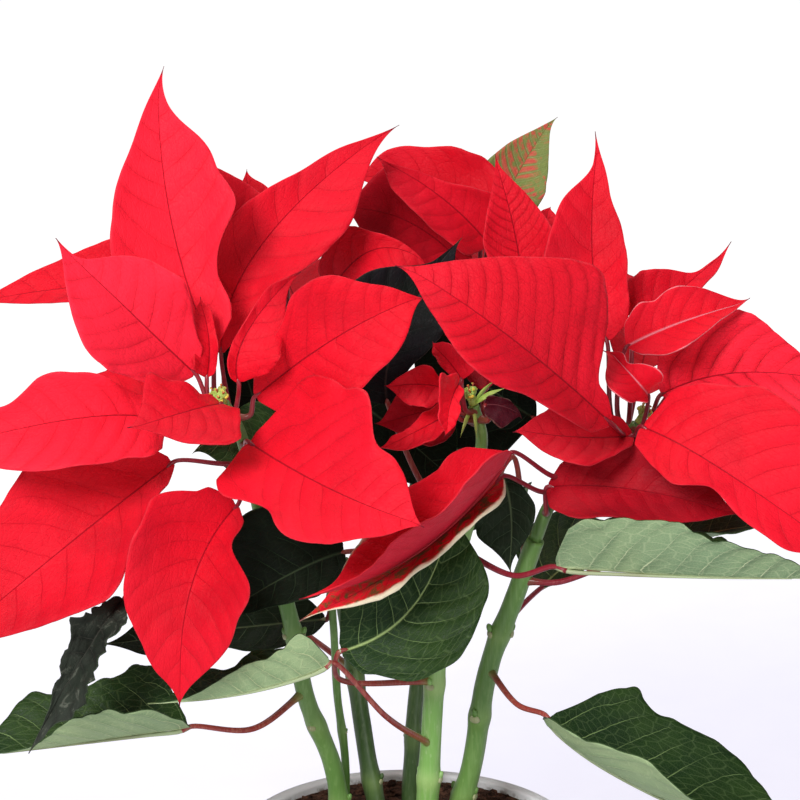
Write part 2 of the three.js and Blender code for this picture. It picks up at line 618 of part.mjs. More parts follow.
// A thin solid: a plane's grid laid on both sides of a surface, alike, and closed at the rim.
function bladeSolid(blade) {
  const surface = bladeSurface(blade);
  const length = toVector(blade.tip).distanceTo(toVector(blade.base));
  const rows = length < bladeGrid.smallLength ? bladeGrid.alongSmall : bladeGrid.along;
  const columns = bladeGrid.across;
  const plane = new THREE.PlaneGeometry(1, 2, rows, columns);
  const grid = plane.attributes.position;
  const count = grid.count;
  const points = [];
  const step = 0.01;
  for (const side of [-0.5, 0.5]) {
    for (let i = 0; i < count; i += 1) {
      const even = grid.getX(i) + 0.5;
      const closer = even - 0.05 * Math.sin(2 * Math.PI * even);
      const along = mix(bladeGrid.start, bladeGrid.end, closer);
      const across = grid.getY(i);
      const alongWay = surface(Math.min(along + step, 1), across).sub(surface(along - step, across));
      const acrossWay = surface(along, across + step).sub(surface(along, across - step));
      const normal = alongWay.cross(acrossWay).normalize();
      points.push(...surface(along, across).addScaledVector(normal, side * bladeForm.thickness));
    }
  }
  const top = Array.from(plane.index.array);
  const index = [];
  for (let i = 0; i < top.length; i += 3) {
    const [a, b, c] = top.slice(i, i + 3);
    index.push(a, c, b);
    index.push(a + count, b + count, c + count);
  }
  for (const [a, b] of rimEdges(rows, columns)) {
    index.push(a, b, b + count);
    index.push(a, b + count, a + count);
  }
  const geometry = new THREE.BufferGeometry();
  geometry.setAttribute("position", new THREE.Float32BufferAttribute(points, 3));
  geometry.setIndex(index);
  return solidOf(geometry);
}

// A blade on its stalk, which runs on for a little way under the midrib.
function leafSolid(blade, radius) {
  const run = bladeSurface(blade)(stalk.run, 0).toArray();
  const route = [blade.joint, blade.via, blade.base, run];
  return bladeSolid(blade).add(limb(route, radius, radius * stalk.taper, stalk.sides, stalk.steps));
}

// A bract's stalk leaves its crown outwards before it rises to the blade.
function withStalk(bract, crown) {
  const joint = smooth(crown).getPointAt(bract.from);
  const away = toVector(bract.base).sub(joint);
  const outwards = away.clone().setZ(0).setLength(branching.out);
  const via = joint.clone().add(outwards).addScaledVector(away, branching.rise);
  return { ...bract, joint: joint.toArray(), via: via.toArray() };
}

function stemSolid({ route, radius }, extra) {
  const [foot, top] = radius.map((size) => size + extra);
  return limb(route, foot, top, stemForm.sides, stemForm.steps, extra);
}

// Low knobs where old leaves dropped, turned a third of the way round from one to the next.
function scarSolids({ route, radius, scars }) {
  const curve = smooth(route);
  return scars.map((share, i) => {
    const point = curve.getPointAt(share);
    const turn = scarForm.firstTurn + i * scarForm.turn;
    const out = mix(radius[0], radius[1], share) * scarForm.reach;
    const knob = new THREE.SphereGeometry(radius[1] * scarForm.size, 5, 3);
    knob.translate(point.x + Math.cos(turn) * out, point.y + Math.sin(turn) * out, point.z);
    return solidOf(knob);
  });
}

function turned(profile, sides) {
  const outline = profile.map(([radius, height]) => new THREE.Vector2(radius, height));
  return new THREE.LatheGeometry(outline, sides).rotateX(Math.PI / 2);
}

const innerRadius = (height) => mix(pot.footRadius - pot.wall, pot.rimInner, height / pot.height);

function potSolid() {
  const { height, rimRadius, rimInner, footRadius, floor, edge } = pot;
  const bandFoot = height - band.height;
  return solidOf(turned([
    [0, 0],
    [footRadius - edge, 0],
    [footRadius, edge],
    [rimRadius - band.step, bandFoot],
    [rimRadius, bandFoot + band.chamfer],
    [rimRadius, height - edge],
    [rimRadius - edge, height],
    [rimInner + edge, height],
    [innerRadius(height - edge), height - edge],
    [innerRadius(floor), floor],
    [0, floor],
  ], pot.sides));
}

// Potting soil up to the rim, low and rough on top, with a plain hole for each stem.
function soilSolid(holes) {
  const floor = pot.floor + clearance;
  const edge = innerRadius(soilSize.edgeHeight) - soilSize.sideGap;
  const profile = [[0, floor], [innerRadius(floor) - soilSize.sideGap, floor]];
  for (let ring = 0; ring <= soilSize.rings; ring += 1) {
    const share = 1 - ring / soilSize.rings;
    profile.push([edge * share, soilSize.edgeHeight + soilSize.domeRise * (1 - share ** 2)]);
  }
  const body = turned(profile, pot.sides);
  const position = body.attributes.position;
  for (let i = 0; i < position.count; i += 1) {
    const [x, y, z] = [position.getX(i), position.getY(i), position.getZ(i)];
    const isTop = z > soilSize.edgeHeight + soilSize.grain / 2;
    const grain = Math.sin(x * 0.9 + 1.7) * Math.cos(y * 1.1) + Math.sin(x * 0.31 - y * 0.47);
    if (isTop) position.setZ(i, z + soilSize.grain * grain);
  }
  return holes.reduce((whole, hole) => whole.subtract(hole), solidOf(body));
}

// The cups of a head, the first upright and the rest leaning out, fused on a short shared stalk.
function flowerSolid(crown, cups) {
  const curve = smooth(crown);
  const axis = curve.getTangent(1);
  const foot = curve.getPoint(1).addScaledVector(axis, crownForm.end + clearance);
  const seat = foot.clone().addScaledVector(axis, clusterStalk.rise);
  const top = seat.clone().addScaledVector(axis, clusterStalk.sink);
  const { footRadius, topRadius, sides } = clusterStalk;
  const parts = [limb([foot.toArray(), top.toArray()], footRadius, topRadius, sides, 1)];
  const upright = new THREE.Quaternion().setFromUnitVectors(new THREE.Vector3(0, 0, 1), axis);
  for (let i = 0; i < cups; i += 1) {
    const cup = turned(cupForm.profile, cupForm.sides);
    cup.translate(0, 0, cupForm.lift);
    cup.rotateY(i === 0 ? 0 : cupForm.lean);
    cup.rotateZ(i * cupForm.turn);
    cup.applyQuaternion(upright);
    cup.translate(...seat);
    parts.push(solidOf(cup));
  }
  return join(parts);
}

function headSolid({ crown, bracts }) {
  const { footRadius, topRadius, sides, steps, end } = crownForm;
  const blades = bracts.map((bract) => leafSolid(withStalk(bract, crown), stalk.bractRadius));
  return join([limb(crown, footRadius, topRadius, sides, steps, end), ...blades]);
}

const model = new THREE.Group();

function addPiece(name, solid, colour, roughness) {
  const material = new THREE.MeshStandardMaterial({ color: colours[colour], roughness, metalness: 0 });
  const mesh = new THREE.Mesh(geometryOf(solid), material);
  mesh.name = name;
  model.add(mesh);
}

const cleared = {};
for (const [name, stem] of Object.entries(stems)) cleared[name] = stemSolid(stem, clearance);

addPiece("pot", potSolid(), "pot", 0.35);
addPiece("soil", soilSolid(Object.values(cleared)), "soil", 0.95);
for (const [name, stem] of Object.entries(stems)) {
  addPiece(name, join([stemSolid(stem, 0), ...scarSolids(stem)]), "stem", 0.55);
}
for (const [name, head] of Object.entries(heads)) {
  addPiece(`bracts_${name}`, headSolid(head).subtract(cleared[head.stem]), "bract", 0.5);
  addPiece(`flowers_${name}`, flowerSolid(head.crown, head.cups), "flower", 0.5);
}
leaves.forEach((leaf, i) => {
  const solid = leafSolid(leaf, stalk.leafRadius).subtract(cleared[leaf.stem]);
  addPiece(`leaf_${String(i + 1).padStart(2, "0")}`, solid, "leaf", 0.5);
});

export default model;
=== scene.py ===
# A potted poinsettia: five flowering stems and a young shoot in a plain white pot.
# Lengths in the tables are millimetres, and mm turns them into metres.
import math
import random
import bpy
import bmesh
from mathutils import Matrix, Vector, noise


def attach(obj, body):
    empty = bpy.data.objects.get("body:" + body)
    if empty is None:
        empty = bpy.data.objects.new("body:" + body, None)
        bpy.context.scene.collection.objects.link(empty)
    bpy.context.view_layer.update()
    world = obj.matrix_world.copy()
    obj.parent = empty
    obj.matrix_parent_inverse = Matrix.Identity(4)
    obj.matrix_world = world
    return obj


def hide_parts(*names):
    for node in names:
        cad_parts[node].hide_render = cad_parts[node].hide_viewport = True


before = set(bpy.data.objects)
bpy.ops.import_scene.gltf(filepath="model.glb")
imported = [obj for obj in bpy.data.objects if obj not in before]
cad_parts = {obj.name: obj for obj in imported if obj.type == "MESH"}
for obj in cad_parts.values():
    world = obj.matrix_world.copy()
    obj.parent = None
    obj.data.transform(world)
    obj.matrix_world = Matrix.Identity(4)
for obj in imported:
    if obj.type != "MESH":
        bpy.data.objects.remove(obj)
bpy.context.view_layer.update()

mm = 0.001
random.seed(8)


def wire(tree, value, target):
    # a socket is linked, anything else is set as the value
    if isinstance(value, bpy.types.NodeSocket):
        tree.links.new(value, target)
    else:
        target.default_value = value


def calc(tree, operation, first, second=0.0, third=0.0, clamp=False):
    node = tree.nodes.new("ShaderNodeMath")
    node.operation = operation
    node.use_clamp = clamp
    for socket, value in zip(node.inputs, (first, second, third)):
        wire(tree, value, socket)
    return node.outputs[0]


def times(tree, first, second, clamp=False):
    return calc(tree, "MULTIPLY", first, second, clamp=clamp)


def fade(tree, value, start, end, low=0.0, high=1.0):
    node = tree.nodes.new("ShaderNodeMapRange")
    node.interpolation_type = "SMOOTHSTEP"
    amounts = {"Value": value, "From Min": start, "From Max": end, "To Min": low, "To Max": high}
    for name, amount in amounts.items():
        wire(tree, amount, node.inputs[name])
    return node.outputs["Result"]


def blendColour(tree, share, first, second):
    node = tree.nodes.new("ShaderNodeMix")
    node.data_type = "RGBA"
    wire(tree, share, node.inputs[0])
    for colour, slot in ((first, 6), (second, 7)):
        linked = isinstance(colour, bpy.types.NodeSocket)
        wire(tree, colour if linked else (*colour, 1.0), node.inputs[slot])
    return node.outputs[2]


def noiseOf(tree, where, scale, detail=3.0, roughness=0.55, distortion=0.0):
    node = tree.nodes.new("ShaderNodeTexNoise")
    wire(tree, where, node.inputs["Vector"])
    amounts = {"Scale": scale, "Detail": detail, "Roughness": roughness, "Distortion": distortion}
    for name, amount in amounts.items():
        node.inputs[name].default_value = amount
    return node.outputs["Fac"]


def bumpOf(tree, height, strength, distance):
    node = tree.nodes.new("ShaderNodeBump")
    node.inputs["Strength"].default_value = strength
    node.inputs["Distance"].default_value = distance
    wire(tree, height, node.inputs["Height"])
    return node.outputs["Normal"]


def surface(tree, shader, ground, height, strength, distance):
    tree.links.new(ground, shader.inputs["Base Color"])
    tree.links.new(bumpOf(tree, height, strength, distance), shader.inputs["Normal"])


def newMaterial(name, roughness=0.5, specular=0.4):
    material = bpy.data.materials.new(name)
    material.use_nodes = True
    shader = material.node_tree.nodes["Principled BSDF"]
    shader.inputs["Roughness"].default_value = roughness
    shader.inputs["Specular IOR Level"].default_value = specular
    return material, material.node_tree, shader


def objectPoint(tree, scale=(1, 1, 1)):
    place = tree.nodes.new("ShaderNodeTexCoord")
    mapping = tree.nodes.new("ShaderNodeMapping")
    mapping.inputs["Scale"].default_value = scale
    tree.links.new(place.outputs["Object"], mapping.inputs["Vector"])
    return mapping.outputs["Vector"]


def uvPoint(tree, name):
    node = tree.nodes.new("ShaderNodeUVMap")
    node.uv_map = name
    return node.outputs["UV"]


# The veins of a blade. The pleats of its surface follow the same numbers.
veinShape = {
    "count": 10,       # side veins on each half of a large leaf
    "lean": 0.62,      # how far a side vein runs forward for each step out
    "curl": 0.45,      # and how much more of that at the edge
    "shift": 0.22,     # the right half's veins sit this much ahead of the left's
    "wander": 0.35,    # how unevenly they are spaced, as a share of the space between two
}


def addSockets(tree, direction, kind, names):
    kind = "NodeSocket" + kind
    return [tree.interface.new_socket(name, in_out=direction, socket_type=kind) for name in names]


def ridge(tree, value, width):
    # 1 where the value passes a whole number, 0 beyond the width
    offset = calc(tree, "ABSOLUTE", calc(tree, "SUBTRACT", calc(tree, "FRACT", value), 0.5))
    panel = times(tree, offset, 2.0)
    return fade(tree, panel, 0.0, width, 1.0, 0.0), panel


def cellLines(tree, where, scale, width):
    cells = tree.nodes.new("ShaderNodeTexVoronoi")
    cells.voronoi_dimensions = "2D"
    cells.feature = "DISTANCE_TO_EDGE"
    mapping = tree.nodes.new("ShaderNodeMapping")
    mapping.inputs["Scale"].default_value = scale
    tree.links.new(where, mapping.inputs["Vector"])
    tree.links.new(mapping.outputs["Vector"], cells.inputs["Vector"])
    cells.inputs["Scale"].default_value = 1.0
    return fade(tree, cells.outputs["Distance"], 0.0, width, 1.0, 0.0)


def buildVeinGroup():
    tree = bpy.data.node_groups.new("bladeVeins", "ShaderNodeTree")
    addSockets(tree, "INPUT", "Vector", ("Blade", "Flat", "Tone And Shade"))
    for name, width in (("Vein Width", 0.07), ("Rib Width", 0.008), ("Edge Width", 0.025)):
        addSockets(tree, "INPUT", "Float", (name,))[0].default_value = width
    source = tree.nodes.new("NodeGroupInput")
    result = tree.nodes.new("NodeGroupOutput")
    parts = {}
    for name in ("Blade", "Flat", "Tone And Shade"):
        parts[name] = tree.nodes.new("ShaderNodeSeparateXYZ")
        tree.links.new(source.outputs[name], parts[name].inputs[0])
    flat = source.outputs["Flat"]
    root = parts["Blade"].outputs["X"]
    along = parts["Tone And Shade"].outputs["X"]
    across = calc(tree, "MULTIPLY_ADD", parts["Blade"].outputs["Y"], 2.0, -1.0)
    away = calc(tree, "ABSOLUTE", across)
    wobble = calc(tree, "MULTIPLY_ADD", noiseOf(tree, flat, 14.0, 3.0), 0.16, -0.08)
    counted = calc(tree, "MULTIPLY_ADD", root, float(veinShape["count"]), wobble)
    phase = calc(tree, "MULTIPLY_ADD", calc(tree, "SIGN", across), veinShape["shift"], counted)
    # side veins thin out towards the edge and start past the blade's foot
    width = times(tree, source.outputs["Vein Width"], fade(tree, away, 0.0, 0.9, 1.0, 0.4))
    side, panel = ridge(tree, phase, width)
    inner = fade(tree, away, 0.80, 0.96, 1.0, 0.0)
    side = times(tree, times(tree, side, inner), fade(tree, root, -0.12, -0.04))
    # some stretches of a vein and its crease are faint
    presence = fade(tree, noiseOf(tree, flat, 4.5, 2.0), 0.36, 0.62, 0.25, 1.0)
    side = times(tree, side, presence)
    # the creases beside the side veins, where the materials paint shade and the bump follows
    creaseShade = times(tree, fade(tree, panel, 0.0, 0.6, 1.0, 0.0), presence)
    fine = ridge(tree, times(tree, phase, 3.0), times(tree, width, 1.6))[0]
    ribWidth = times(tree, source.outputs["Rib Width"], fade(tree, along, 0.0, 1.0, 1.0, 0.25))
    rib = fade(tree, calc(tree, "ABSOLUTE", parts["Flat"].outputs["Y"]), 0.0, ribWidth, 1.0, 0.0)
    # rungs between the side veins, then a finer mesh inside them
    rungs = cellLines(tree, flat, (13, 40, 1), 0.10)
    mesh = cellLines(tree, flat, (75, 95, 1), 0.16)
    # an uneven band along the margin
    jagged = calc(tree, "MULTIPLY_ADD", noiseOf(tree, flat, 9.0, 3.0), 2.4, -1.2)
    margin = calc(tree, "MULTIPLY_ADD", jagged, source.outputs["Edge Width"], away)
    edgeFrom = calc(tree, "SUBTRACT", 1.0, source.outputs["Edge Width"])
    edgeTo = calc(tree, "MULTIPLY_ADD", source.outputs["Edge Width"], -0.3, 1.0)
    outputs = {
        "Midrib": rib, "Side Veins": side, "Fine Veins": fine, "Rungs": rungs, "Mesh": mesh,
        "Panel": panel, "Crease": creaseShade,
        "Edge": fade(tree, margin, edgeFrom, edgeTo),
        "Tip": fade(tree, along, 0.955, 0.992),
        "Tone And Shade": parts["Tone And Shade"].outputs["Y"],
    }
    addSockets(tree, "OUTPUT", "Float", outputs)
    for name, value in outputs.items():
        tree.links.new(value, result.inputs[name])
    return tree


def buildMottleGroup():
    # two colours mixed in soft uneven patches
    tree = bpy.data.node_groups.new("softMottle", "ShaderNodeTree")
    addSockets(tree, "INPUT", "Vector", ("Point",))
    addSockets(tree, "INPUT", "Color", ("First", "Second"))
    addSockets(tree, "OUTPUT", "Color", ("Colour",))
    addSockets(tree, "OUTPUT", "Float", ("Fine",))
    source = tree.nodes.new("NodeGroupInput")
    result = tree.nodes.new("NodeGroupOutput")
    broad = noiseOf(tree, source.outputs["Point"], 22.0, 4.0, 0.6)
    fine = noiseOf(tree, source.outputs["Point"], 900.0, 2.0, 0.6)
    share = fade(tree, broad, 0.36, 0.66)
    colour = blendColour(tree, share, source.outputs["First"], source.outputs["Second"])
    tree.links.new(colour, result.inputs["Colour"])
    tree.links.new(fine, result.inputs["Fine"])
    return tree


veinGroup = buildVeinGroup()
mottleGroup = buildMottleGroup()


def addMottle(tree, point, first, second):
    node = tree.nodes.new("ShaderNodeGroup")
    node.node_tree = mottleGroup
    tree.links.new(point, node.inputs["Point"])
    node.inputs["First"].default_value = (*first, 1.0)
    node.inputs["Second"].default_value = (*second, 1.0)
    return node.outputs["Colour"], node.outputs["Fine"]


def bladeMaterial(name, look):
    # one side of a leaf or bract: its veins, mesh and edge over a mottled ground
    material, tree, shader = newMaterial(name, look["roughness"], look["specular"])
    if "sheen" in look:
        shader.inputs["Sheen Weight"].default_value = look["sheen"]
        shader.inputs["Sheen Roughness"].default_value = 0.45
        shader.inputs["Sheen Tint"].default_value = (*look["sheenTint"], 1.0)
    veins = tree.nodes.new("ShaderNodeGroup")
    veins.node_tree = veinGroup
    for source, target in (("blade", "Blade"), ("flat", "Flat"), ("tone", "Tone And Shade")):
        tree.links.new(uvPoint(tree, source), veins.inputs[target])
    for part in ("Vein", "Rib", "Edge"):
        veins.inputs[part + " Width"].default_value = look[part.lower() + "Width"]
    ground, fine = addMottle(tree, objectPoint(tree), look["ground"][0], look["ground"][1])
    patches = noiseOf(tree, uvPoint(tree, "flat"), 3.2, 3.0, 0.6)
    patches = fade(tree, patches, 0.42, 0.72, 0.0, look["patchShare"])
    # random patches darken the ground towards the deep colour, and so does a blade's tone above 0,
    # as painted shade; a tone below 0 is painted light
    tone = veins.outputs["Tone And Shade"]
    deepPatchesAndShade = calc(tree, "ADD", tone, patches, clamp=True)
    ground = blendColour(tree, deepPatchesAndShade, ground, look["deepAndShade"])
    ground = blendColour(tree, times(tree, tone, -1.0, clamp=True), ground, look["paintedLight"])
    if "streak" in look:
        streaks = noiseOf(tree, uvPoint(tree, "flat"), look["streakScale"], 5.0, 0.7, 1.5)
        streaks = fade(tree, streaks, look["streakFrom"], look["streakFrom"] + 0.12)
        between = fade(tree, veins.outputs["Panel"], 0.1, 0.6, look["streakMin"], 1.0)
        mask = times(tree, times(tree, streaks, between), look["streakShare"])
        ground = blendColour(tree, mask, ground, look["streak"])
    # painted shade in the creases beside the veins
    valleyShade = times(tree, veins.outputs["Crease"], look["creaseShadeShare"])
    ground = blendColour(tree, valleyShade, ground, look["creaseShade"])
    # the pale edge is a painted highlight where the margin catches light; the cream margins are the
    # bract's own colour
    for name, share, colour in (("Mesh", "mesh", "vein"), ("Rungs", "rung", "vein"),
                                ("Fine Veins", "fine", "vein"), ("Side Veins", "vein", "vein"),
                                ("Midrib", "rib", "rib"), ("Edge", "edge", "edge"),
                                ("Tip", "tip", "tip")):
        mask = times(tree, veins.outputs[name], look[share + "Share"])
        ground = blendColour(tree, mask, ground, look[colour])
    wrinkles = noiseOf(tree, uvPoint(tree, "flat"), 18.0, 3.0, 0.55, 0.8)
    height = calc(tree, "MULTIPLY_ADD", wrinkles, look["wrinkle"], times(tree, fine, 0.12))
    swell = math.copysign(look["swell"], look["relief"])
    height = calc(tree, "MULTIPLY_ADD", veins.outputs["Crease"], swell, height)
    for name, share in (("Side Veins", 1.0), ("Midrib", 1.4), ("Rungs", 0.35), ("Mesh", 0.22),
                        ("Fine Veins", 0.25)):
        height = calc(tree, "MULTIPLY_ADD", veins.outputs[name], look["relief"] * share, height)
    surface(tree, shader, ground, height, 0.5, 0.0004)
    return material


bladeLooks = {
    "bractUpper": {
        # the dark colour for patches also takes painted shade, and the lit colour is painted light
        "ground": ((0.84, 0.008, 0.026), (0.76, 0.005, 0.018)), "deepAndShade": (0.30, 0.002, 0.010),
        # crease is painted shade beside the veins
        "paintedLight": (1.0, 0.022, 0.052), "creaseShade": (0.46, 0.002, 0.010), "creaseShadeShare": 0.22,
        # edge is a painted highlight along the margin
        "vein": (0.30, 0.002, 0.010), "rib": (0.24, 0.002, 0.009), "edge": (0.84, 0.14, 0.17),
        "tip": (0.08, 0.006, 0.016), "veinShare": 0.16, "fineShare": 0.07, "ribShare": 0.80,
        "rungShare": 0.05, "meshShare": 0.06, "edgeShare": 0.10, "tipShare": 0.85,
        "veinWidth": 0.08, "ribWidth": 0.0065, "roughness": 0.55, "specular": 0.12, "sheen": 0.03,
        "sheenTint": (1.0, 0.40, 0.52), "relief": -1.0, "edgeWidth": 0.025, "patchShare": 0.26,
        "wrinkle": 2.6, "swell": 0.8,
    },
    "leafUpper": {
        "ground": ((0.011, 0.034, 0.008), (0.025, 0.058, 0.010)), "deepAndShade": (0.006, 0.016, 0.006),
        "paintedLight": (0.03, 0.07, 0.02), "creaseShade": (0.006, 0.018, 0.006), "creaseShadeShare": 0.45,
        "vein": (0.26, 0.38, 0.14), "rib": (0.36, 0.48, 0.18), "edge": (0.07, 0.12, 0.05),
        "tip": (0.06, 0.05, 0.03), "veinShare": 0.85, "fineShare": 0.03, "ribShare": 0.95,
        "rungShare": 0.11, "meshShare": 0.04, "edgeShare": 0.30, "tipShare": 0.4,
        "veinWidth": 0.085, "ribWidth": 0.010, "roughness": 0.42, "specular": 0.11,
        "relief": -1.4, "edgeWidth": 0.025, "patchShare": 0.3, "wrinkle": 1.6, "swell": 1.6,
    },
    "leafUnder": {
        "ground": ((0.200, 0.295, 0.160), (0.255, 0.350, 0.180)), "deepAndShade": (0.13, 0.20, 0.11),
        "paintedLight": (0.36, 0.47, 0.24), "creaseShade": (0.10, 0.17, 0.09), "creaseShadeShare": 0.60,
        "vein": (0.60, 0.68, 0.40), "rib": (0.58, 0.66, 0.36), "edge": (0.34, 0.44, 0.24),
        "tip": (0.30, 0.34, 0.16), "veinShare": 0.90, "fineShare": 0.06, "ribShare": 0.95,
        "rungShare": 0.20, "meshShare": 0.14, "edgeShare": 0.40, "tipShare": 0.4,
        "veinWidth": 0.10, "ribWidth": 0.013, "roughness": 0.60, "specular": 0.12, "relief": 1.6,
        "edgeWidth": 0.025, "patchShare": 0.25, "wrinkle": 2.0, "swell": 1.6,
    },
}
# Looks that differ from another only in part.
lookChanges = {
    "bractLined": ("bractUpper", {
        "creaseShadeShare": 0.55, "veinShare": 0.55, "fineShare": 0.18, "rungShare": 0.10,
        "meshShare": 0.12, "relief": -1.6,
    }),
    "bractPaleRib": ("bractUpper", {
        "rib": (0.80, 0.26, 0.32), "ribWidth": 0.011, "edge": (0.85, 0.30, 0.34),
        "edgeShare": 0.6,
    }),
    "bractUnder": ("bractUpper", {
        "ground": ((0.78, 0.024, 0.055), (0.66, 0.016, 0.038)), "deepAndShade": (0.38, 0.004, 0.016),
        "vein": (0.50, 0.03, 0.05), "rib": (0.36, 0.012, 0.025), "veinShare": 0.4,
        "rungShare": 0.12, "relief": 1.0,
    }),
    "bractOlive": ("bractUpper", {
        "ground": ((0.155, 0.215, 0.050), (0.21, 0.25, 0.07)), "deepAndShade": (0.12, 0.17, 0.04),
        "creaseShade": (0.11, 0.17, 0.04), "vein": (0.50, 0.48, 0.24), "rib": (0.16, 0.15, 0.04),
        "veinShare": 0.8, "fineShare": 0.45, "rungShare": 0.10, "edge": (0.14, 0.20, 0.08),
        "sheen": 0.0, "streak": (0.58, 0.045, 0.05), "streakScale": 5.0, "streakFrom": 0.46,
        "streakShare": 0.85, "streakMin": 0.05,
    }),
    # a lighter underside for leaves lit from below: painted light
    "leafUnderPale": ("leafUnder", {
        "ground": ((0.30, 0.42, 0.215), (0.36, 0.47, 0.235)), "deepAndShade": (0.20, 0.30, 0.15),
        "creaseShade": (0.18, 0.28, 0.14), "vein": (0.60, 0.68, 0.36),
    }),
    # darker copies of the upper side for leaves in the plant's inner shade: painted shade, less
    # dark on the dim one and purple-black on the purple one
    "leafShaded": ("leafUpper", {
        "ground": ((0.004, 0.006, 0.004), (0.008, 0.011, 0.006)), "creaseShade": (0.004, 0.006, 0.004),
        "vein": (0.030, 0.050, 0.024), "rib": (0.04, 0.06, 0.03), "specular": 0.04,
    }),
    "leafDim": ("leafUpper", {
        "ground": ((0.010, 0.017, 0.009), (0.017, 0.027, 0.013)), "vein": (0.10, 0.14, 0.08),
        "rib": (0.12, 0.16, 0.08), "specular": 0.08,
    }),
    "leafPurple": ("leafShaded", {
        "ground": ((0.010, 0.006, 0.010), (0.016, 0.011, 0.016)), "vein": (0.030, 0.030, 0.030),
        "rib": (0.05, 0.04, 0.035), "edge": (0.10, 0.08, 0.07),
    }),
    # a near-black copy for a bract deep in the head's shade: painted shade
    "bractDark": ("bractUpper", {
        "ground": ((0.060, 0.003, 0.010), (0.040, 0.003, 0.008)), "deepAndShade": (0.02, 0.002, 0.003),
        "creaseShade": (0.03, 0.002, 0.004), "rib": (0.20, 0.05, 0.06), "edge": (0.16, 0.09, 0.07),
        "edgeShare": 0.7,
    }),
    "leafWithered": ("leafUpper", {
        "ground": ((0.044, 0.050, 0.040), (0.017, 0.019, 0.015)), "creaseShade": (0.006, 0.006, 0.006),
        "vein": (0.05, 0.05, 0.04), "rib": (0.05, 0.05, 0.04), "streak": (0.13, 0.14, 0.11),
        "streakScale": 12.0, "streakFrom": 0.55, "streakShare": 0.7, "roughness": 0.8,
        "streakMin": 0.35,
    }),
    "bractCream": ("bractUpper", {
        "streak": (0.05, 0.10, 0.025), "streakScale": 12.0, "streakFrom": 0.45,
        "streakShare": 0.85, "edge": (0.74, 0.66, 0.47), "edgeShare": 1.0, "edgeWidth": 0.18,
        "streakMin": 0.35,
    }),
    "creamUnder": ("bractUnder", {
        "ground": ((0.66, 0.56, 0.40), (0.62, 0.46, 0.32)), "deepAndShade": (0.60, 0.42, 0.30),
        "edge": (0.75, 0.65, 0.48), "edgeShare": 1.0, "streak": (0.60, 0.12, 0.14),
        "streakScale": 8.0, "streakFrom": 0.55, "streakShare": 0.75, "streakMin": 0.35,
    }),
}
for name, (parent, changes) in lookChanges.items():
    bladeLooks[name] = {**bladeLooks[parent], **changes}
bladeMaterials = {name: bladeMaterial(name, look) for name, look in bladeLooks.items()}


def stalkMaterial(name, first, second, speckle, node, roughness=0.38):
    # stems and stalks: soft patches, long fine streaks, pale pores and another colour at the nodes
    material, tree, shader = newMaterial(name, roughness, 0.42)
    ground, fine = addMottle(tree, objectPoint(tree, (1, 1, 0.4)), first, second)
    streaks = noiseOf(tree, objectPoint(tree, (900, 900, 30)), 1.0, 3.0)
    ground = blendColour(tree, fade(tree, streaks, 0.42, 0.72, 0.0, 0.38), ground, speckle)
    pores = tree.nodes.new("ShaderNodeTexVoronoi")
    wire(tree, objectPoint(tree, (420, 420, 170)), pores.inputs["Vector"])
    pores.inputs["Scale"].default_value = 1.0
    dots = fade(tree, pores.outputs["Distance"], 0.10, 0.20, 0.35, 0.0)
    ground = blendColour(tree, dots, ground, speckle)
    band = tree.nodes.new("ShaderNodeAttribute")
    band.attribute_name = "nodeBand"
    ground = blendColour(tree, times(tree, band.outputs["Fac"], 0.9), ground, node)
    height = calc(tree, "MULTIPLY_ADD", streaks, 0.6, times(tree, fine, 0.15))
    surface(tree, shader, ground, height, 0.4, 0.0003)
    return material


# The front stem's skin is a lighter copy of the green one, painted light, and the two back stems' a
# darker copy, painted shade.
# The two ground colours, the speckles and the colour at the nodes.
stemPaintedLit = stalkMaterial(
    "stemPaintedLit", (0.20, 0.42, 0.09), (0.28, 0.48, 0.15), (0.42, 0.56, 0.28), (0.36, 0.52, 0.17))
stemGreen = stalkMaterial(
    "stemGreen", (0.085, 0.205, 0.036), (0.14, 0.27, 0.062), (0.25, 0.39, 0.14),
    (0.20, 0.33, 0.085))
stemPaintedShade = stalkMaterial(
    "stemPaintedShade", (0.046, 0.100, 0.024), (0.076, 0.135, 0.038), (0.14, 0.20, 0.09),
    (0.16, 0.25, 0.07))
petioleMaroon = stalkMaterial(
    "petioleMaroon", (0.19, 0.008, 0.018), (0.27, 0.014, 0.028), (0.36, 0.06, 0.07),
    (0.17, 0.05, 0.025), 0.3)
petioleBrown = stalkMaterial(
    "petioleBrown", (0.33, 0.045, 0.035), (0.22, 0.028, 0.026), (0.45, 0.20, 0.13),
    (0.19, 0.27, 0.07), 0.3)
scarCream = stalkMaterial(
    "scarCream", (0.42, 0.45, 0.25), (0.28, 0.30, 0.13), (0.52, 0.52, 0.36),
    (0.42, 0.45, 0.25), 0.75)


def noiseAt(x, y, z):
    return noise.noise(Vector((x, y, z)))


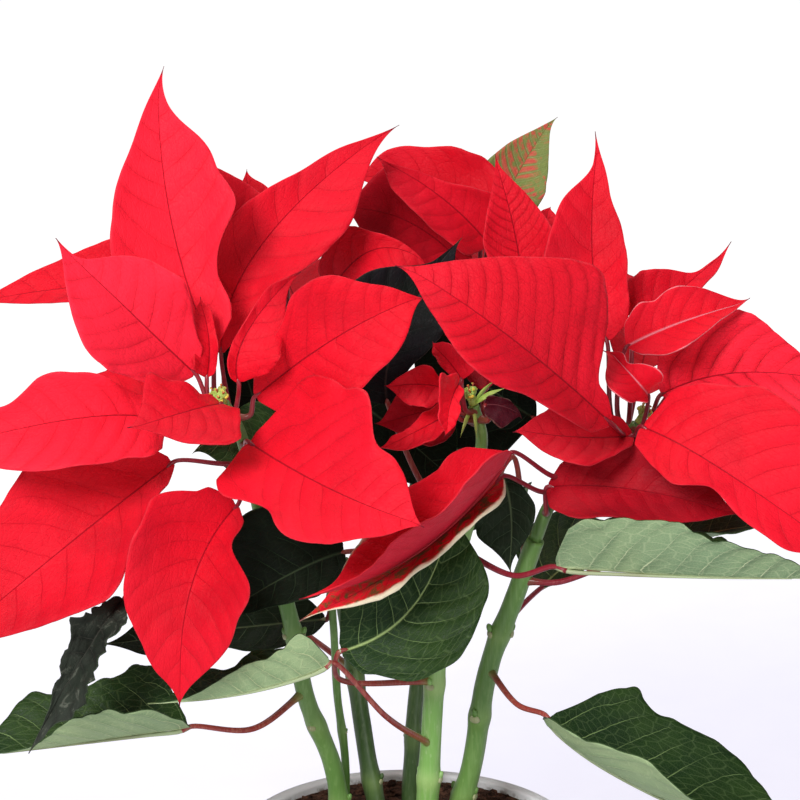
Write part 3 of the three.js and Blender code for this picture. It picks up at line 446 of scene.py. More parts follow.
def smoothRoute(points, count):
    # evenly spaced points on a centripetal curve through the given ones
    known = [Vector(p) for p in points]
    known = [known[0] * 2 - known[1]] + known + [known[-1] * 2 - known[-2]]
    dense = []
    for k in range(1, len(known) - 2):
        a, b, c, d = known[k - 1:k + 3]
        gaps = [max((q - p).length, 1e-6) ** 0.5 for p, q in ((a, b), (b, c), (c, d))]
        leave = ((b - a) / gaps[0] - (c - a) / (gaps[0] + gaps[1]) + (c - b) / gaps[1]) * gaps[1]
        arrive = ((c - b) / gaps[1] - (d - b) / (gaps[1] + gaps[2]) + (d - c) / gaps[2]) * gaps[1]
        for step in range(24):
            t = step / 24
            dense.append(b + leave * t + (c * 3 - b * 3 - leave * 2 - arrive) * t ** 2
                         + (b * 2 - c * 2 + leave + arrive) * t ** 3)
    dense.append(known[-2])
    lengths = [0.0]
    for p, q in zip(dense, dense[1:]):
        lengths.append(lengths[-1] + (q - p).length)
    route, k = [], 0
    for i in range(count + 1):
        goal = lengths[-1] * i / count
        while k < len(lengths) - 2 and lengths[k + 1] < goal:
            k += 1
        share = (goal - lengths[k]) / max(lengths[k + 1] - lengths[k], 1e-9)
        route.append(dense[k].lerp(dense[k + 1], min(share, 1.0)))
    return route


def addTube(bm, route, radii, sides, slot=0, flatten=1.0):
    # a ring pulled along the route, one extrusion a step, closed at both ends
    made = bmesh.ops.create_circle(bm, cap_ends=True, radius=1.0, segments=sides)
    ring = made["verts"]
    face = next(iter(ring[0].link_faces))
    face.normal_update()
    last = len(route) - 1
    tangents = []
    for i in range(last + 1):
        tangents.append((route[min(i + 1, last)] - route[max(i - 1, 0)]).normalized())
    side = tangents[0].orthogonal().normalized()
    skin = {face}
    previous = None
    for i, (point, tangent) in enumerate(zip(route, tangents)):
        side = (side - tangent * side.dot(tangent)).normalized()
        turn = Matrix((side, tangent.cross(side), tangent)).transposed().to_4x4()
        size = Matrix.Diagonal((radii[i], radii[i] * flatten, 1.0, 1.0))
        here = Matrix.Translation(point) @ turn @ size
        if previous is None:
            bmesh.ops.transform(bm, matrix=here, verts=ring)
        else:
            out = bmesh.ops.extrude_face_region(bm, geom=[face], use_keep_orig=True)
            if i > 1:
                # only the two end caps stay
                bmesh.ops.delete(bm, geom=[face], context="FACES_ONLY")
            ring = [g for g in out["geom"] if isinstance(g, bmesh.types.BMVert)]
            face = next(g for g in out["geom"] if isinstance(g, bmesh.types.BMFace))
            bmesh.ops.transform(bm, matrix=here @ previous.inverted(), verts=ring)
            skin.update(f for v in ring for f in v.link_faces)
        previous = here
    for f in skin:
        if f.is_valid:
            f.material_index = slot


def paint(verts, slot):
    for f in {f for v in verts for f in v.link_faces}:
        f.material_index = slot


def spinOnce(bm, geom, steps):
    bmesh.ops.spin(bm, geom=geom, cent=(0, 0, 0), axis=(0, 0, 1), dvec=(0, 0, 0),
                   angle=math.tau, steps=steps, use_merge=True, use_duplicate=False)


def addObject(name, data):
    thing = bpy.data.objects.new(name, data)
    bpy.context.scene.collection.objects.link(thing)
    return thing


def meshOf(bm, name, materials):
    mesh = bpy.data.meshes.new(name)
    bm.to_mesh(mesh)
    bm.free()
    for material in materials:
        mesh.materials.append(material)
    return mesh


def finishPiece(bm, name, node, materials, smooth=True):
    bmesh.ops.recalc_face_normals(bm, faces=bm.faces)
    return placePiece(bm, name, node, materials, smooth)


def placePiece(bm, name, node, materials, smooth=True):
    for face in bm.faces:
        face.smooth = smooth
    piece = addObject(name, meshOf(bm, name, materials))
    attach(piece, "root")
    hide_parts(node)
    return piece


potShape = {
    "height": 120, "rimRadius": 70, "rimInner": 64.5, "footRadius": 49,
    "wall": 3.5, "floor": 4, "edge": 1.5, "bandHeight": 20, "bandStep": 2.5, "steps": 112,
}


def potMaterial():
    material, tree, shader = newMaterial("potWhite", 0.32, 0.5)
    place = objectPoint(tree)
    ground, fine = addMottle(tree, place, (0.88, 0.88, 0.90), (0.91, 0.91, 0.92))
    height = tree.nodes.new("ShaderNodeSeparateXYZ")
    tree.links.new(place, height.inputs[0])
    # crumbs and splashes of soil cling to the inside of the rim and fade out above it
    smudge = fade(tree, noiseOf(tree, place, 160.0, 5.0, 0.65), 0.50, 0.66)
    ring = calc(tree, "SQRT", calc(tree, "ADD", calc(tree, "POWER", height.outputs["X"], 2.0),
                                   calc(tree, "POWER", height.outputs["Y"], 2.0)))
    inside = fade(tree, ring, 0.0655, 0.0642)
    low = times(tree, fade(tree, height.outputs["Z"], 0.1195, 0.1165),
               fade(tree, height.outputs["Z"], 0.1095, 0.1105))
    mask = times(tree, times(tree, smudge, inside), low)
    ground = blendColour(tree, times(tree, mask, 0.8), ground, (0.10, 0.05, 0.03))
    rough = calc(tree, "MULTIPLY_ADD", noiseOf(tree, place, 60.0, 4.0), 0.16, 0.26)
    tree.links.new(rough, shader.inputs["Roughness"])
    surface(tree, shader, ground, fine, 0.12, 0.0002)
    return material


def innerAt(z):
    # radius of the pot's inside at a height
    p = potShape
    foot = p["footRadius"] - p["wall"]
    return foot + (p["rimInner"] - p["footRadius"] + p["wall"]) * z / p["height"]


def buildPot():
    p = potShape
    bandFoot = p["height"] - p["bandHeight"]
    profile = [
        (0, 0), (p["footRadius"], 0), (p["rimRadius"] - p["bandStep"], bandFoot),
        (p["rimRadius"], bandFoot + 1), (p["rimRadius"], p["height"]), (p["rimInner"], p["height"]),
        (innerAt(p["floor"]), p["floor"]), (0, p["floor"]),
    ]
    bm = bmesh.new()
    corners = [bm.verts.new((radius * mm, 0, z * mm)) for radius, z in profile]
    for first, second in zip(corners, corners[1:]):
        bm.edges.new((first, second))
    bmesh.ops.bevel(bm, geom=corners[1:-1], offset=p["edge"] * mm * 0.8, offset_type="OFFSET",
                    segments=4, profile=0.5, affect="VERTICES", material=-1)
    spinOnce(bm, bm.verts[:] + bm.edges[:], p["steps"])
    bmesh.ops.remove_doubles(bm, verts=bm.verts, dist=1e-6)
    finishPiece(bm, "potShell", "pot", [potMaterial()])


buildPot()
print("pot done")


soilShape = {
    "edgeHeight": 117, "domeRise": 3, "sideGap": 0.5, "floorGap": 0.3, "grid": 130,
    "crumbs": 900, "crumbSize": (0.5, 2.1), "crumbReach": 0.985, "crumbTop": 122,
    "crumbUneven": 0.22,
}


def soilMaterial():
    material, tree, shader = newMaterial("soilDark", 0.95, 0.15)
    place = objectPoint(tree)
    ground = blendColour(tree, fade(tree, noiseOf(tree, place, 260.0, 4.0, 0.65), 0.38, 0.66),
                         (0.024, 0.011, 0.007), (0.11, 0.05, 0.031))
    specks = tree.nodes.new("ShaderNodeTexVoronoi")
    tree.links.new(place, specks.inputs["Vector"])
    specks.inputs["Scale"].default_value = 330.0
    specks = fade(tree, specks.outputs["Distance"], 0.05, 0.28, 0.5, 0.0)
    ground = blendColour(tree, specks, ground, (0.20, 0.10, 0.06))
    surface(tree, shader, ground, noiseOf(tree, place, 500.0, 5.0, 0.7), 0.8, 0.0008)
    return material


def soilTop(x, y, edge):
    # height of the rough surface at a place, in millimetres
    away = min(math.hypot(x, y) / edge, 1.0)
    clods = noiseAt(x * 0.22, y * 0.22, 3.0) * 0.9 + noiseAt(x * 0.7, y * 0.7, 9.0) * 0.6
    dome = soilShape["edgeHeight"] + soilShape["domeRise"] * (1 - away ** 2)
    return dome + clods * (1 - away ** 8 * 0.7)


def buildSoil():
    p = potShape
    edge = innerAt(soilShape["edgeHeight"]) - soilShape["sideGap"]
    bm = bmesh.new()
    bmesh.ops.create_grid(bm, x_segments=soilShape["grid"], y_segments=soilShape["grid"], size=1.0)
    for v in bm.verts:
        x = v.co.x * math.sqrt(1 - v.co.y ** 2 / 2) * edge
        y = v.co.y * math.sqrt(1 - v.co.x ** 2 / 2) * edge
        v.co = Vector((x, y, soilTop(x, y, edge))) * mm
    rim = [e for e in bm.edges if e.is_boundary]
    wall = bmesh.ops.extrude_edge_only(bm, edges=rim)["geom"]
    low = [g for g in wall if isinstance(g, bmesh.types.BMVert)]
    shrink = (innerAt(p["floor"]) - soilShape["sideGap"]) / edge
    for v in low:
        v.co = Vector((v.co.x * shrink, v.co.y * shrink, (p["floor"] + soilShape["floorGap"]) * mm))
    foot = [g for g in wall if isinstance(g, bmesh.types.BMEdge) and g.is_boundary]
    bmesh.ops.edgeloop_fill(bm, edges=foot)
    uneven = soilShape["crumbUneven"]
    for _ in range(soilShape["crumbs"]):
        reach = edge * soilShape["crumbReach"] * math.sqrt(random.random())
        turn = random.uniform(0, math.tau)
        x, y = reach * math.cos(turn), reach * math.sin(turn)
        size = random.uniform(*soilShape["crumbSize"]) * random.uniform(0.5, 1.0)
        sizes = [random.uniform(*span) for span in ((0.7, 1.3), (0.7, 1.3), (0.5, 0.9))]
        spot = Vector((x, y, min(soilTop(x, y, edge) + size * 0.2, soilShape["crumbTop"])))
        place = Matrix.Translation(spot * mm) @ Matrix.Rotation(turn * 7, 4, "Z")
        place = place @ Matrix.Diagonal((*sizes, 1.0))
        crumb = bmesh.ops.create_icosphere(bm, subdivisions=1, radius=size * mm, matrix=place)
        for v in crumb["verts"]:
            v.co += Vector([random.uniform(-uneven, uneven) * size * mm for _ in range(3)])
    finishPiece(bm, "soilBody", "soil", [soilMaterial()], smooth=False)


buildSoil()
print("soil done")


stemShape = {
    "sides": 24, "steps": 90, "swelling": 0.16, "swellingReach": 4.2,
    "scarSize": 0.6, "scarFirst": -0.35, "scarTurn": 1.9, "scarPair": 2.7,
    "scarForm": (0.38, 1.05, 0.75, 1.0),
    "budSize": 0.72, "budLean": 0.35, "budForm": (0.8, 0.8, 1.35, 1.0), "ribDepth": 0.16,
    # painted light on the front stem, painted shade on the back two
    "skins": {"stem_centre": stemPaintedLit, "stem_back_left": stemPaintedShade, "stem_back": stemPaintedShade},
}
stems = {
    "stem_left": {
        "route": [(-24, 2, 96), (-27, 0, 122), (-31, -4, 151), (-41, -12, 182), (-47, -20, 219),
                  (-58, -24, 262)],
        "radius": (4, 3.2), "scars": (0.22, 0.45, 0.7),
    },
    "stem_back_left": {
        "route": [(-9, 15, 96), (-12, 16, 119), (-16, 19, 140), (-21, 27, 171), (-27, 37, 209),
                  (-37, 47, 258), (-42, 50, 290)],
        "radius": (4, 3), "scars": (0.2, 0.42, 0.66),
    },
    "stem_back": {
        "route": [(3, 32, 96), (1, 36, 120), (2, 39, 140), (4, 44, 166), (10, 54, 203),
                  (18, 62, 262), (25, 65, 300)],
        "radius": (3.6, 3), "scars": (0.24, 0.5, 0.72),
    },
    "stem_centre": {
        "route": [(5, -5, 96), (7, -6, 120), (9, -8, 154), (11, -12, 191), (15, -16, 226),
                  (24, -20, 262)],
        "radius": (5, 3.2), "scars": (0.3, 0.56, 0.78),
    },
    "stem_right": {
        "route": [(15, 8, 96), (19, 6, 120), (26, 4, 145), (33, -2, 192), (45, -8, 230),
                  (51, -11, 250)],
        "radius": (4.6, 3.8), "scars": (0.25, 0.48, 0.72),
    },
    "shoot": {
        "route": [(-26, 16, 96), (-26, 15, 122), (-26, 13, 146), (-29, 9, 176), (-30, 5, 199),
                  (-31, 0, 222)],
        "radius": (1.9, 1.5), "scars": (0.5,),
    },
}


def buildStem(name, stem):
    s = stemShape
    route = smoothRoute([Vector(p) * mm for p in stem["route"]], s["steps"])
    foot, top = stem["radius"]
    nodes = [route[round(share * s["steps"])] for share in stem["scars"]]
    reach = s["swellingReach"] * mm

    def bandAt(z):
        return min(1.0, sum(math.exp(-((z - node.z) / reach) ** 2) for node in nodes))

    radii = []
    for i, point in enumerate(route):
        radius = foot + (top - foot) * i / s["steps"]
        radii.append(radius * (1 + s["swelling"] * bandAt(point.z)) * mm)
    bm = bmesh.new()
    band = bm.verts.layers.float.new("nodeBand")
    addTube(bm, route, radii, s["sides"])
    for v in bm.verts:
        v[band] = bandAt(v.co.z) * (0.6 + 0.4 * noise.noise(v.co * 300))
        # low ribs that run along the stem
        place = Vector((v.co.x * 420, v.co.y * 420, v.co.z * 18))
        rib = Vector((noise.noise(place), noise.noise(place + Vector((7, 0, 0))), 0))
        v.co += rib * s["ribDepth"] * mm
    for i, node in enumerate(nodes):
        first = s["scarFirst"] + i * s["scarTurn"]
        for turn in (first, first + s["scarPair"]):
            out = Vector((math.cos(turn), math.sin(turn), 0))
            size = top * s["scarSize"] * mm
            place = Matrix.Translation(node + out * radii[round(stem["scars"][i] * s["steps"])])
            place = place @ Matrix.Rotation(turn, 4, "Z")
            scar = bmesh.ops.create_uvsphere(bm, u_segments=14, v_segments=10, radius=size,
                                             matrix=place @ Matrix.Diagonal(s["scarForm"]))
            paint(scar["verts"], 1)
            # the bud above the scar
            bud = place @ Matrix.Translation((0, 0, size * 1.1))
            bud = bud @ Matrix.Rotation(s["budLean"], 4, "Y") @ Matrix.Diagonal(s["budForm"])
            bmesh.ops.create_uvsphere(bm, u_segments=12, v_segments=10,
                                      radius=size * s["budSize"], matrix=bud)
    finishPiece(bm, name + "_skin", name, [s["skins"].get(name, stemGreen), scarCream])


for name, stem in stems.items():
    buildStem(name, stem)
print("stems done")


bladeShape = {
    "thickness": 0.5, "widest": 0.66, "roundBase": 0.62, "drawnTip": 0.95, "neck": 0.08,
    "lobe": 0.06, "lobeAt": 0.42, "lobeSpan": 0.07,
    "cup": 14, "ruffle": 1.2, "waves": 2.5, "offset": 1.4,
    "pleat": 0.8,       # how far the skin swells between side veins
    "groove": 0.45,     # how deep the midrib lies in the upper side
    "wander": 1.7,      # slow uneven bends
    "uneven": 0.022,    # how uneven the outline is
    "hook": 1.6,        # how far the drawn-out tip bends sideways
    "hookFrom": 0.87, "hookSpan": 0.13, "rollFrom": 0.8, "rollSpan": 0.2,
    "marginWave": 0.4, "marginWaves": 6, "grooveWidth": 1.3, "start": 0.012, "span": 0.988,
    "tornFrom": 2,      # a blade crumpled more than this is torn along its margin
    "torn": 0.45,       # by this share of its width
    "roll": 0.9,        # how far the margin turns down
    "fullWidth": 24,    # narrower blades than this have lower pleats and bends
    "grid": (80, 32), "smallGrid": (46, 20), "smallLength": 62,
    "leafRadius": 1.25, "bractRadius": 1.0,
}
crowns = {
    "left": {
        "cups": 6,
        "route": [(-58, -24, 262), (-62, -26, 282), (-66, -29, 300), (-71, -38, 313)],
    },
    "centre": {
        "cups": 5,
        "route": [(24, -20, 262), (27, -21, 280), (29, -22, 296), (26, -24, 308)],
    },
    "right": {
        "cups": 5,
        "route": [(51, -11, 250), (57, -13, 266), (68, -13, 279), (82, -13, 287), (90, -14, 298)],
    },
    "back": {"cups": 5, "route": [(25, 65, 300), (28, 66, 314), (30, 67, 328)]},
    "back_left": {"cups": 5, "route": [(-42, 50, 290), (-44, 51, 304), (-45, 52, 316)]},
}
# Bracts: where along the crown the stalk leaves, width, fold, the way the upper side looks,
# then the foot, middle and tip of the midrib, and the left and right halves' widths from base to
# tip, as percents of the plain outline's.
bracts = {
    "left": [
        (0.9, 58, 10, (0.1, -1, 0.3), (-76, -30, 332), (-93, -14, 385), (-97, -2, 440),
         "99 101 96 93 94 91 108", "62 49 65 103 109 129 84"),
        (0.85, 48, 10, (0.1, -0.85, 0.5), (-82, -40, 326), (-106, -56, 355), (-133, -62, 384),
         "56 83 98 124 149 161 189", "56 76 86 99 113 105 30"),
        (0.95, 20, 15, (0.2, -1, 0.2), (-78, -38, 324), (-77, -38, 340), (-81, -34, 355),
         "83 78 72 76 93 132 190", "40 36 34 36 46 72 160"),
        (0.9, 22, 12, (0.1, -1, 0.2), (-65, -50, 325), (-62, -48, 344), (-42, -30, 365),
         "35 38 35 34 46 88 190", "151 147 145 153 169 190 190"),
        (0.8, 60, 12, (-0.1, -1, 0.3), (-74, -10, 326), (-57, 10, 368), (-4, 34, 411),
         "40 38 45 60 63 66 105", "36 43 55 85 117 165 190"),
        (0.85, 58, 10, (0.15, -1, 0.4), (-60, -34, 315), (-26, -54, 345), (6, -56, 361),
         "38 49 68 93 111 104 133", "62 72 78 90 101 137 190"),
        (0.95, 44, 10, (0.1, -0.7, 0.7), (-72, -46, 316), (-83, -72, 320), (-105, -84, 316),
         "52 66 90 126 137 131 111", "30 31 39 62 108 190 190"),
        (0.75, 64, 14, (-0.05, -0.9, 0.45), (-93, -42, 307), (-125, -60, 314), (-184, -72, 303),
         "58 67 65 78 99 136 190", "30 30 42 61 83 75 153"),
        (0.45, 66, 10, (-0.1, -0.9, 0.45), (-91, -36, 290), (-134, -60, 261), (-184, -78, 222),
         "30 49 73 105 109 120 138", "74 85 94 102 117 161 190"),
        (0.4, 62, 18, (-0.1, -1, 0.2), (-66, -48, 276), (-83, -76, 251), (-87, -82, 205),
         "35 34 67 98 113 152 190", "68 99 92 100 116 124 180"),
        (0.6, 66, 8, (-0.1, -0.85, 0.55), (-62, -50, 302), (-28, -90, 294), (6, -108, 286),
         "130 119 112 122 98 139 190", "97 70 64 89 96 99 127"),
        (0.65, 40, 14, (0, -0.2, 1), (-92, -10, 302), (-122, 8, 304), (-160, 22, 292)),
    ],
    "centre": [
        (0.9, 20, 20, (-0.2, -1, 0.3), (21, -22, 319), (16, -20, 326), (9, -15, 332),
         "32 31 39 43 50 72 140", "122 89 77 76 93 132 190"),
        (0.95, 24, 18, (0.1, -0.9, 0.4), (19, -28, 316), (5, -36, 321), (-9, -38, 320),
         "37 57 76 104 125 171 190", "30 30 48 72 78 80 116"),
        (0.97, 16, 26, (0.3, -1, 0.2), (20, -34, 321), (16, -46, 315), (15, -50, 304),
         "40 46 48 61 81 120 190", "112 130 181 135 108 166 190"),
        (0.9, 22, 16, (-0.2, -0.8, 0.6), (17, -30, 308), (5, -36, 303), (-11, -38, 295),
         "41 62 79 99 111 142 190", "64 52 44 39 39 55 127"),
        (0.9, 20, 20, (0, -0.9, 0.5), (30, -26, 310), (37, -28, 310), (45, -28, 306),
         "40 36 36 38 42 50 70", "77 83 96 119 158 181 190"),
        (0.8, 24, 14, (0, 0.3, 1), (30, -12, 312), (36, 6, 322), (38, 28, 322)),
        (0.85, 30, 10, (0, -1, 0.3), (19, -15, 307), (3, -17, 304), (-13, -17, 299)),
    ],
    "right": [
        (0.95, 66, 8, (0.1, -0.9, 0.45), (79, -44, 307), (37, -78, 351), (-4, -70, 377),
         "45 47 51 71 83 88 106", "30 90 114 120 117 124 138"),
        (0.95, 66, 8, (0.1, -0.85, 0.5), (91, -32, 303), (122, -54, 291), (171, -66, 258),
         "78 82 96 118 148 190 190", "45 51 56 34 59 99 190"),
        (0.95, 76, 26, (0, -0.8, 0.6), (100, -8, 309), (137, 2, 316), (185, 6, 307),
         "64 67 67 68 55 44 30", "115 122 129 141 172 190 190"),
        (0.95, 28, 20, (0.05, -0.8, 0.6), (86, -12, 330), (108, -8, 339), (136, -2, 346),
         "92 101 90 112 128 155 175", "87 108 114 108 102 103 125"),
        (0.9, 26, 18, (0.1, -0.7, 0.7), (90, 3, 335), (105, 12, 344), (131, 22, 364),
         "138 132 126 121 99 30 30", "69 60 63 71 83 111 190"),
        (0.9, 44, 10, (0.05, -1, 0.3), (79, -6, 330), (73, 5, 365), (76, 20, 410),
         "87 90 94 103 108 115 30", "67 64 61 69 78 77 111"),
        (0.97, 30, 28, (0.1, -1, 0.3), (94, -26, 314), (88, -36, 323), (77, -30, 334),
         "30 38 58 90 129 177 190", "47 52 64 76 62 40 140"),
        (0.85, 44, 12, (0, -0.8, 0.6), (89, -24, 297), (64, -37, 300), (41, -39, 304),
         "41 50 60 78 82 85 100", "52 50 62 80 95 100 140"),
        (0.2, 40, 16, (0, -0.75, 0.65), (55, -18, 274), (91, -32, 277), (131, -36, 267),
         "67 89 94 92 79 96 190", "103 117 106 106 122 151 190"),
        (0.48, 54, 42, (-0.2, -0.25, 1), (40, -34, 293), (3, -62, 261), (-42, -78, 248),
         "150 130 100 110 135 110 100", "90 78 78 75 80 90 50"),
        (0.36, 44, 8, (-0.1, -0.35, 1), (37, -33, 283), (0, -62, 257), (-42, -68, 236),
         "60 45 40 50 85 80 64", "96 92 92 111 150 170 170"),
        (0.9, 42, 14, (0.2, -0.1, 1), (112, 8, 316), (134, 34, 319), (154, 64, 304)),
        (0.85, 38, 14, (0.1, 0.2, 1), (94, 18, 312), (98, 48, 320), (94, 84, 312)),
    ],
    "back": [
        (0.9, 46, 12, (0, -0.9, 0.45), (34, 56, 356), (13, 50, 378), (-13, 48, 394),
         "72 66 65 71 84 115 190", "95 73 48 33 30 30 30"),
        (0.9, 44, 12, (0, -0.9, 0.45), (30, 78, 362), (10, 84, 379), (-23, 82, 378),
         "90 85 85 96 121 170 190", "99 92 72 69 78 120 190"),
        (0.8, 30, 10, (0.1, -1, 0.3), (47, 42, 342), (43, 46, 367), (35, 56, 394)),
        (0.9, 30, 10, (0, -0.95, 0.3), (34, 86, 352), (47, 96, 379), (63, 108, 401)),
        (0.85, 24, 10, (0.2, -0.95, 0.3), (50, 66, 345), (56, 70, 359), (59, 78, 368),
         "64 70 60 63 66 80 116", "128 96 76 63 66 80 146"),
        (0.85, 38, 12, (0.1, 0, 1), (54, 74, 326), (88, 82, 330), (128, 88, 318)),
        (0.8, 42, 12, (0.1, 0.2, 1), (38, 94, 328), (46, 128, 332), (56, 166, 316)),
        (0.75, 40, 12, (-0.1, 0.2, 1), (16, 90, 330), (-4, 120, 338), (-22, 156, 326)),
        (0.7, 50, 8, (0.1, -1, 0.2), (27, 70, 340), (1, 64, 364), (-28, 58, 371),
         "82 77 75 80 95 130 190", "30 30 30 37 77 188 190"),
    ],
    "back_left": [
        (0.85, 36, 14, (0, -0.6, 0.8), (-77, 20, 346), (-125, 8, 350), (-178, -2, 344)),
        (0.9, 40, 10, (0.1, -0.95, 0.3), (-60, 46, 342), (-75, 50, 370), (-92, 56, 398)),
        (0.9, 36, 10, (0, -0.95, 0.3), (-50, 58, 338), (-60, 62, 362), (-68, 70, 385),
         "43 43 46 51 56 80 136", "39 46 54 66 92 120 175"),
        (0.9, 44, 10, (0, -0.9, 0.45), (-32, 38, 340), (-13, 26, 361), (9, 22, 355),
         "58 57 61 39 30 30 30", "35 38 44 54 68 93 175"),
        (0.8, 46, 12, (-0.1, 0, 1), (-74, 72, 324), (-110, 88, 336), (-152, 98, 326)),
        (0.8, 40, 12, (0, 0.2, 1), (-46, 88, 320), (-54, 122, 328), (-60, 160, 316)),
    ],
}
# Leaves: width, fold, the way the upper side looks, where the stalk leaves the stem and the
# point that it passes, then the midrib and the two halves as for a bract.
leaves = [
    (48, 36, (0, 0.5, 1), (21, -18.5, 248), (42, -36, 243), (57, -46, 250), (109, -60, 251),
     (166, -58, 249),
     "150 140 127 129 149 180 180", "125 111 100 97 105 125 180"),
    (46, 14, (0, -0.1, 1), (46, -8.5, 232), (60, -14, 233), (77, -18, 240), (117, -14, 253),
     (160, -8, 256)),
    (64, 26, (0.3, -0.2, 1), (33, -2, 192), (44, -28, 186), (55, -44, 187), (96, -60, 161),
     (176, -72, 133),
     "110 115 100 110 140 190 190", "170 162 158 182 215 220 195"),
    (60, 8, (0, -0.95, 0.3), (11, -12, 190), (-28, -48, 205), (-27, -52, 217), (3, -46, 235),
     (17, -32, 272),
     "83 73 67 70 79 84 84", "56 80 88 99 119 165 190"),
    (46, 40, (0, 0.4, 1), (9, -9, 162), (-9, -46, 188), (-30, -58, 215), (-61, -66, 206),
     (-101, -70, 202),
     "100 70 61 59 56 58 30", "100 77 71 75 90 162 190"),
    (70, 34, (0, -0.1, 1), (-42, -13, 186), (-62, -34, 178), (-86, -50, 185), (-124, -60, 183),
     (-176, -62, 176),
     "46 70 84 88 76 34 34", "103 88 66 71 92 155 190"),
    (36, 30, (-0.25, -1, 0.2), (-55, -23, 250), (-80, -34, 252), (-110, -62, 242),
     (-123, -84, 228), (-144, -100, 193),
     "46 67 59 60 100 154 190", "30 46 64 63 52 40 30"),
    (60, 10, (0, -0.9, 0.4), (20, -18, 246), (-4, -26, 250), (-25, -24, 249), (-46, -36, 244),
     (-76, -46, 228),
     "36 40 45 49 53 60 93", "80 72 80 108 143 185 190"),
    (46, 10, (0, -0.7, 0.7), (-31, 0, 221), (-31, 4, 227), (-33, 8, 210), (-76, 0, 208),
     (-124, -8, 204),
     "50 66 62 50 65 105 170", "56 50 50 64 90 150 170"),
    (50, 8, (0, -1, 0.2), (-56, -23.4, 254), (-54, -14, 262), (-55, -8, 277), (-66, -6, 291),
     (-87, -4, 285),
     "77 65 62 69 89 120 170", "40 50 67 70 50 40 40"),
    (30, 0, (-0.1, -1, 0.15), (47.4, -9.2, 238), (42, -9, 284), (37, -15, 279), (41, -20, 263),
     (40, -21, 239),
     "34 49 61 72 76 80 70", "68 80 90 110 138 190 190"),
    (58, 8, (0, -1, 0.2), (22, -19, 254), (5, -6, 273), (-8, -6, 305), (-4, 4, 331), (21, 18, 368),
     "51 52 62 90 129 137 60", "30 30 38 56 84 112 190"),
    (46, 6, (0, -1, 0.15), (-30, 40, 224), (-42, 27, 268), (-58, 14, 287), (-64, 12, 308),
     (-70, 14, 330),
     "50 50 48 54 65 89 182", "31 41 40 47 59 89 190"),
    (58, 14, (0.1, 0.2, 1), (11, 55, 210), (14, 74, 218), (20, 88, 220), (30, 124, 222),
     (44, 162, 200)),
    (60, 6, (0, -1, 0.2), (17, 61, 250), (34, 52, 272), (53, 40, 286), (28, 35, 305), (1, 32, 329),
     "90 96 94 86 96 130 190", "32 40 42 51 62 96 190"),
    (56, 14, (0.1, 0.1, 1), (33, -2, 196), (44, 24, 206), (56, 42, 212), (86, 72, 220),
     (120, 98, 206)),
    (56, 14, (-0.1, 0.1, 1), (-22, 29, 180), (-40, 46, 188), (-52, 60, 192), (-80, 84, 194),
     (-110, 112, 174)),
    (50, 6, (0, -1, 0.3), (-37, 47, 258), (-28, 44, 280), (-20, 34, 295), (0, 26, 281),
     (20, 14, 266),
     "51 56 60 76 97 154 190", "44 50 56 67 86 125 190"),
]


def bladeFrame(face, base, mid, tip):
    # the midrib's point and its along, side and up directions at a share of its length
    base, mid, tip, face = (Vector(p) for p in (base, mid, tip, face))
    control = mid * 2 - (base + tip) * 0.5

    def at(along):
        point = base * (1 - along) ** 2 + control * 2 * along * (1 - along) + tip * along ** 2
        tangent = ((control - base) * (1 - along) + (tip - control) * along).normalized()
        up = (face - tangent * face.dot(tangent)).normalized()
        return point, tangent, tangent.cross(up), up

    return at


def outlineAt(along):
    s = bladeShape
    power = s["roundBase"] + s["drawnTip"] * along
    oval = max(math.sin(math.pi * along ** s["widest"]), 0.0) ** power
    narrowing = min(1.0, along / s["neck"]) ** 0.5
    return oval * narrowing + s["lobe"] * math.exp(-((along - s["lobeAt"]) / s["lobeSpan"]) ** 2)


def trimAt(trims, along):
    # a smooth curve through the values, level beyond the first and last
    if not trims:
        return 1.0
    place = min(max(along * (len(trims) + 1) - 1, 0.0), len(trims) - 1.0)
    k = min(int(place), len(trims) - 2)
    t = place - k
    a, b, c, d = (trims[min(max(j, 0), len(trims) - 1)] for j in range(k - 1, k + 3))
    leave, arrive = (c - a) / 2, (d - b) / 2
    square, cube = 3 * (c - b) - 2 * leave - arrive, 2 * (b - c) + leave + arrive
    return b + leave * t + square * t ** 2 + cube * t ** 3


def panelAt(root, across):
    # 0 on a side vein and 1 halfway between two
    phase = root * veinShape["count"] + veinShape["shift"] * (1 if across > 0 else -1)
    return abs((phase % 1.0) - 0.5) * 2


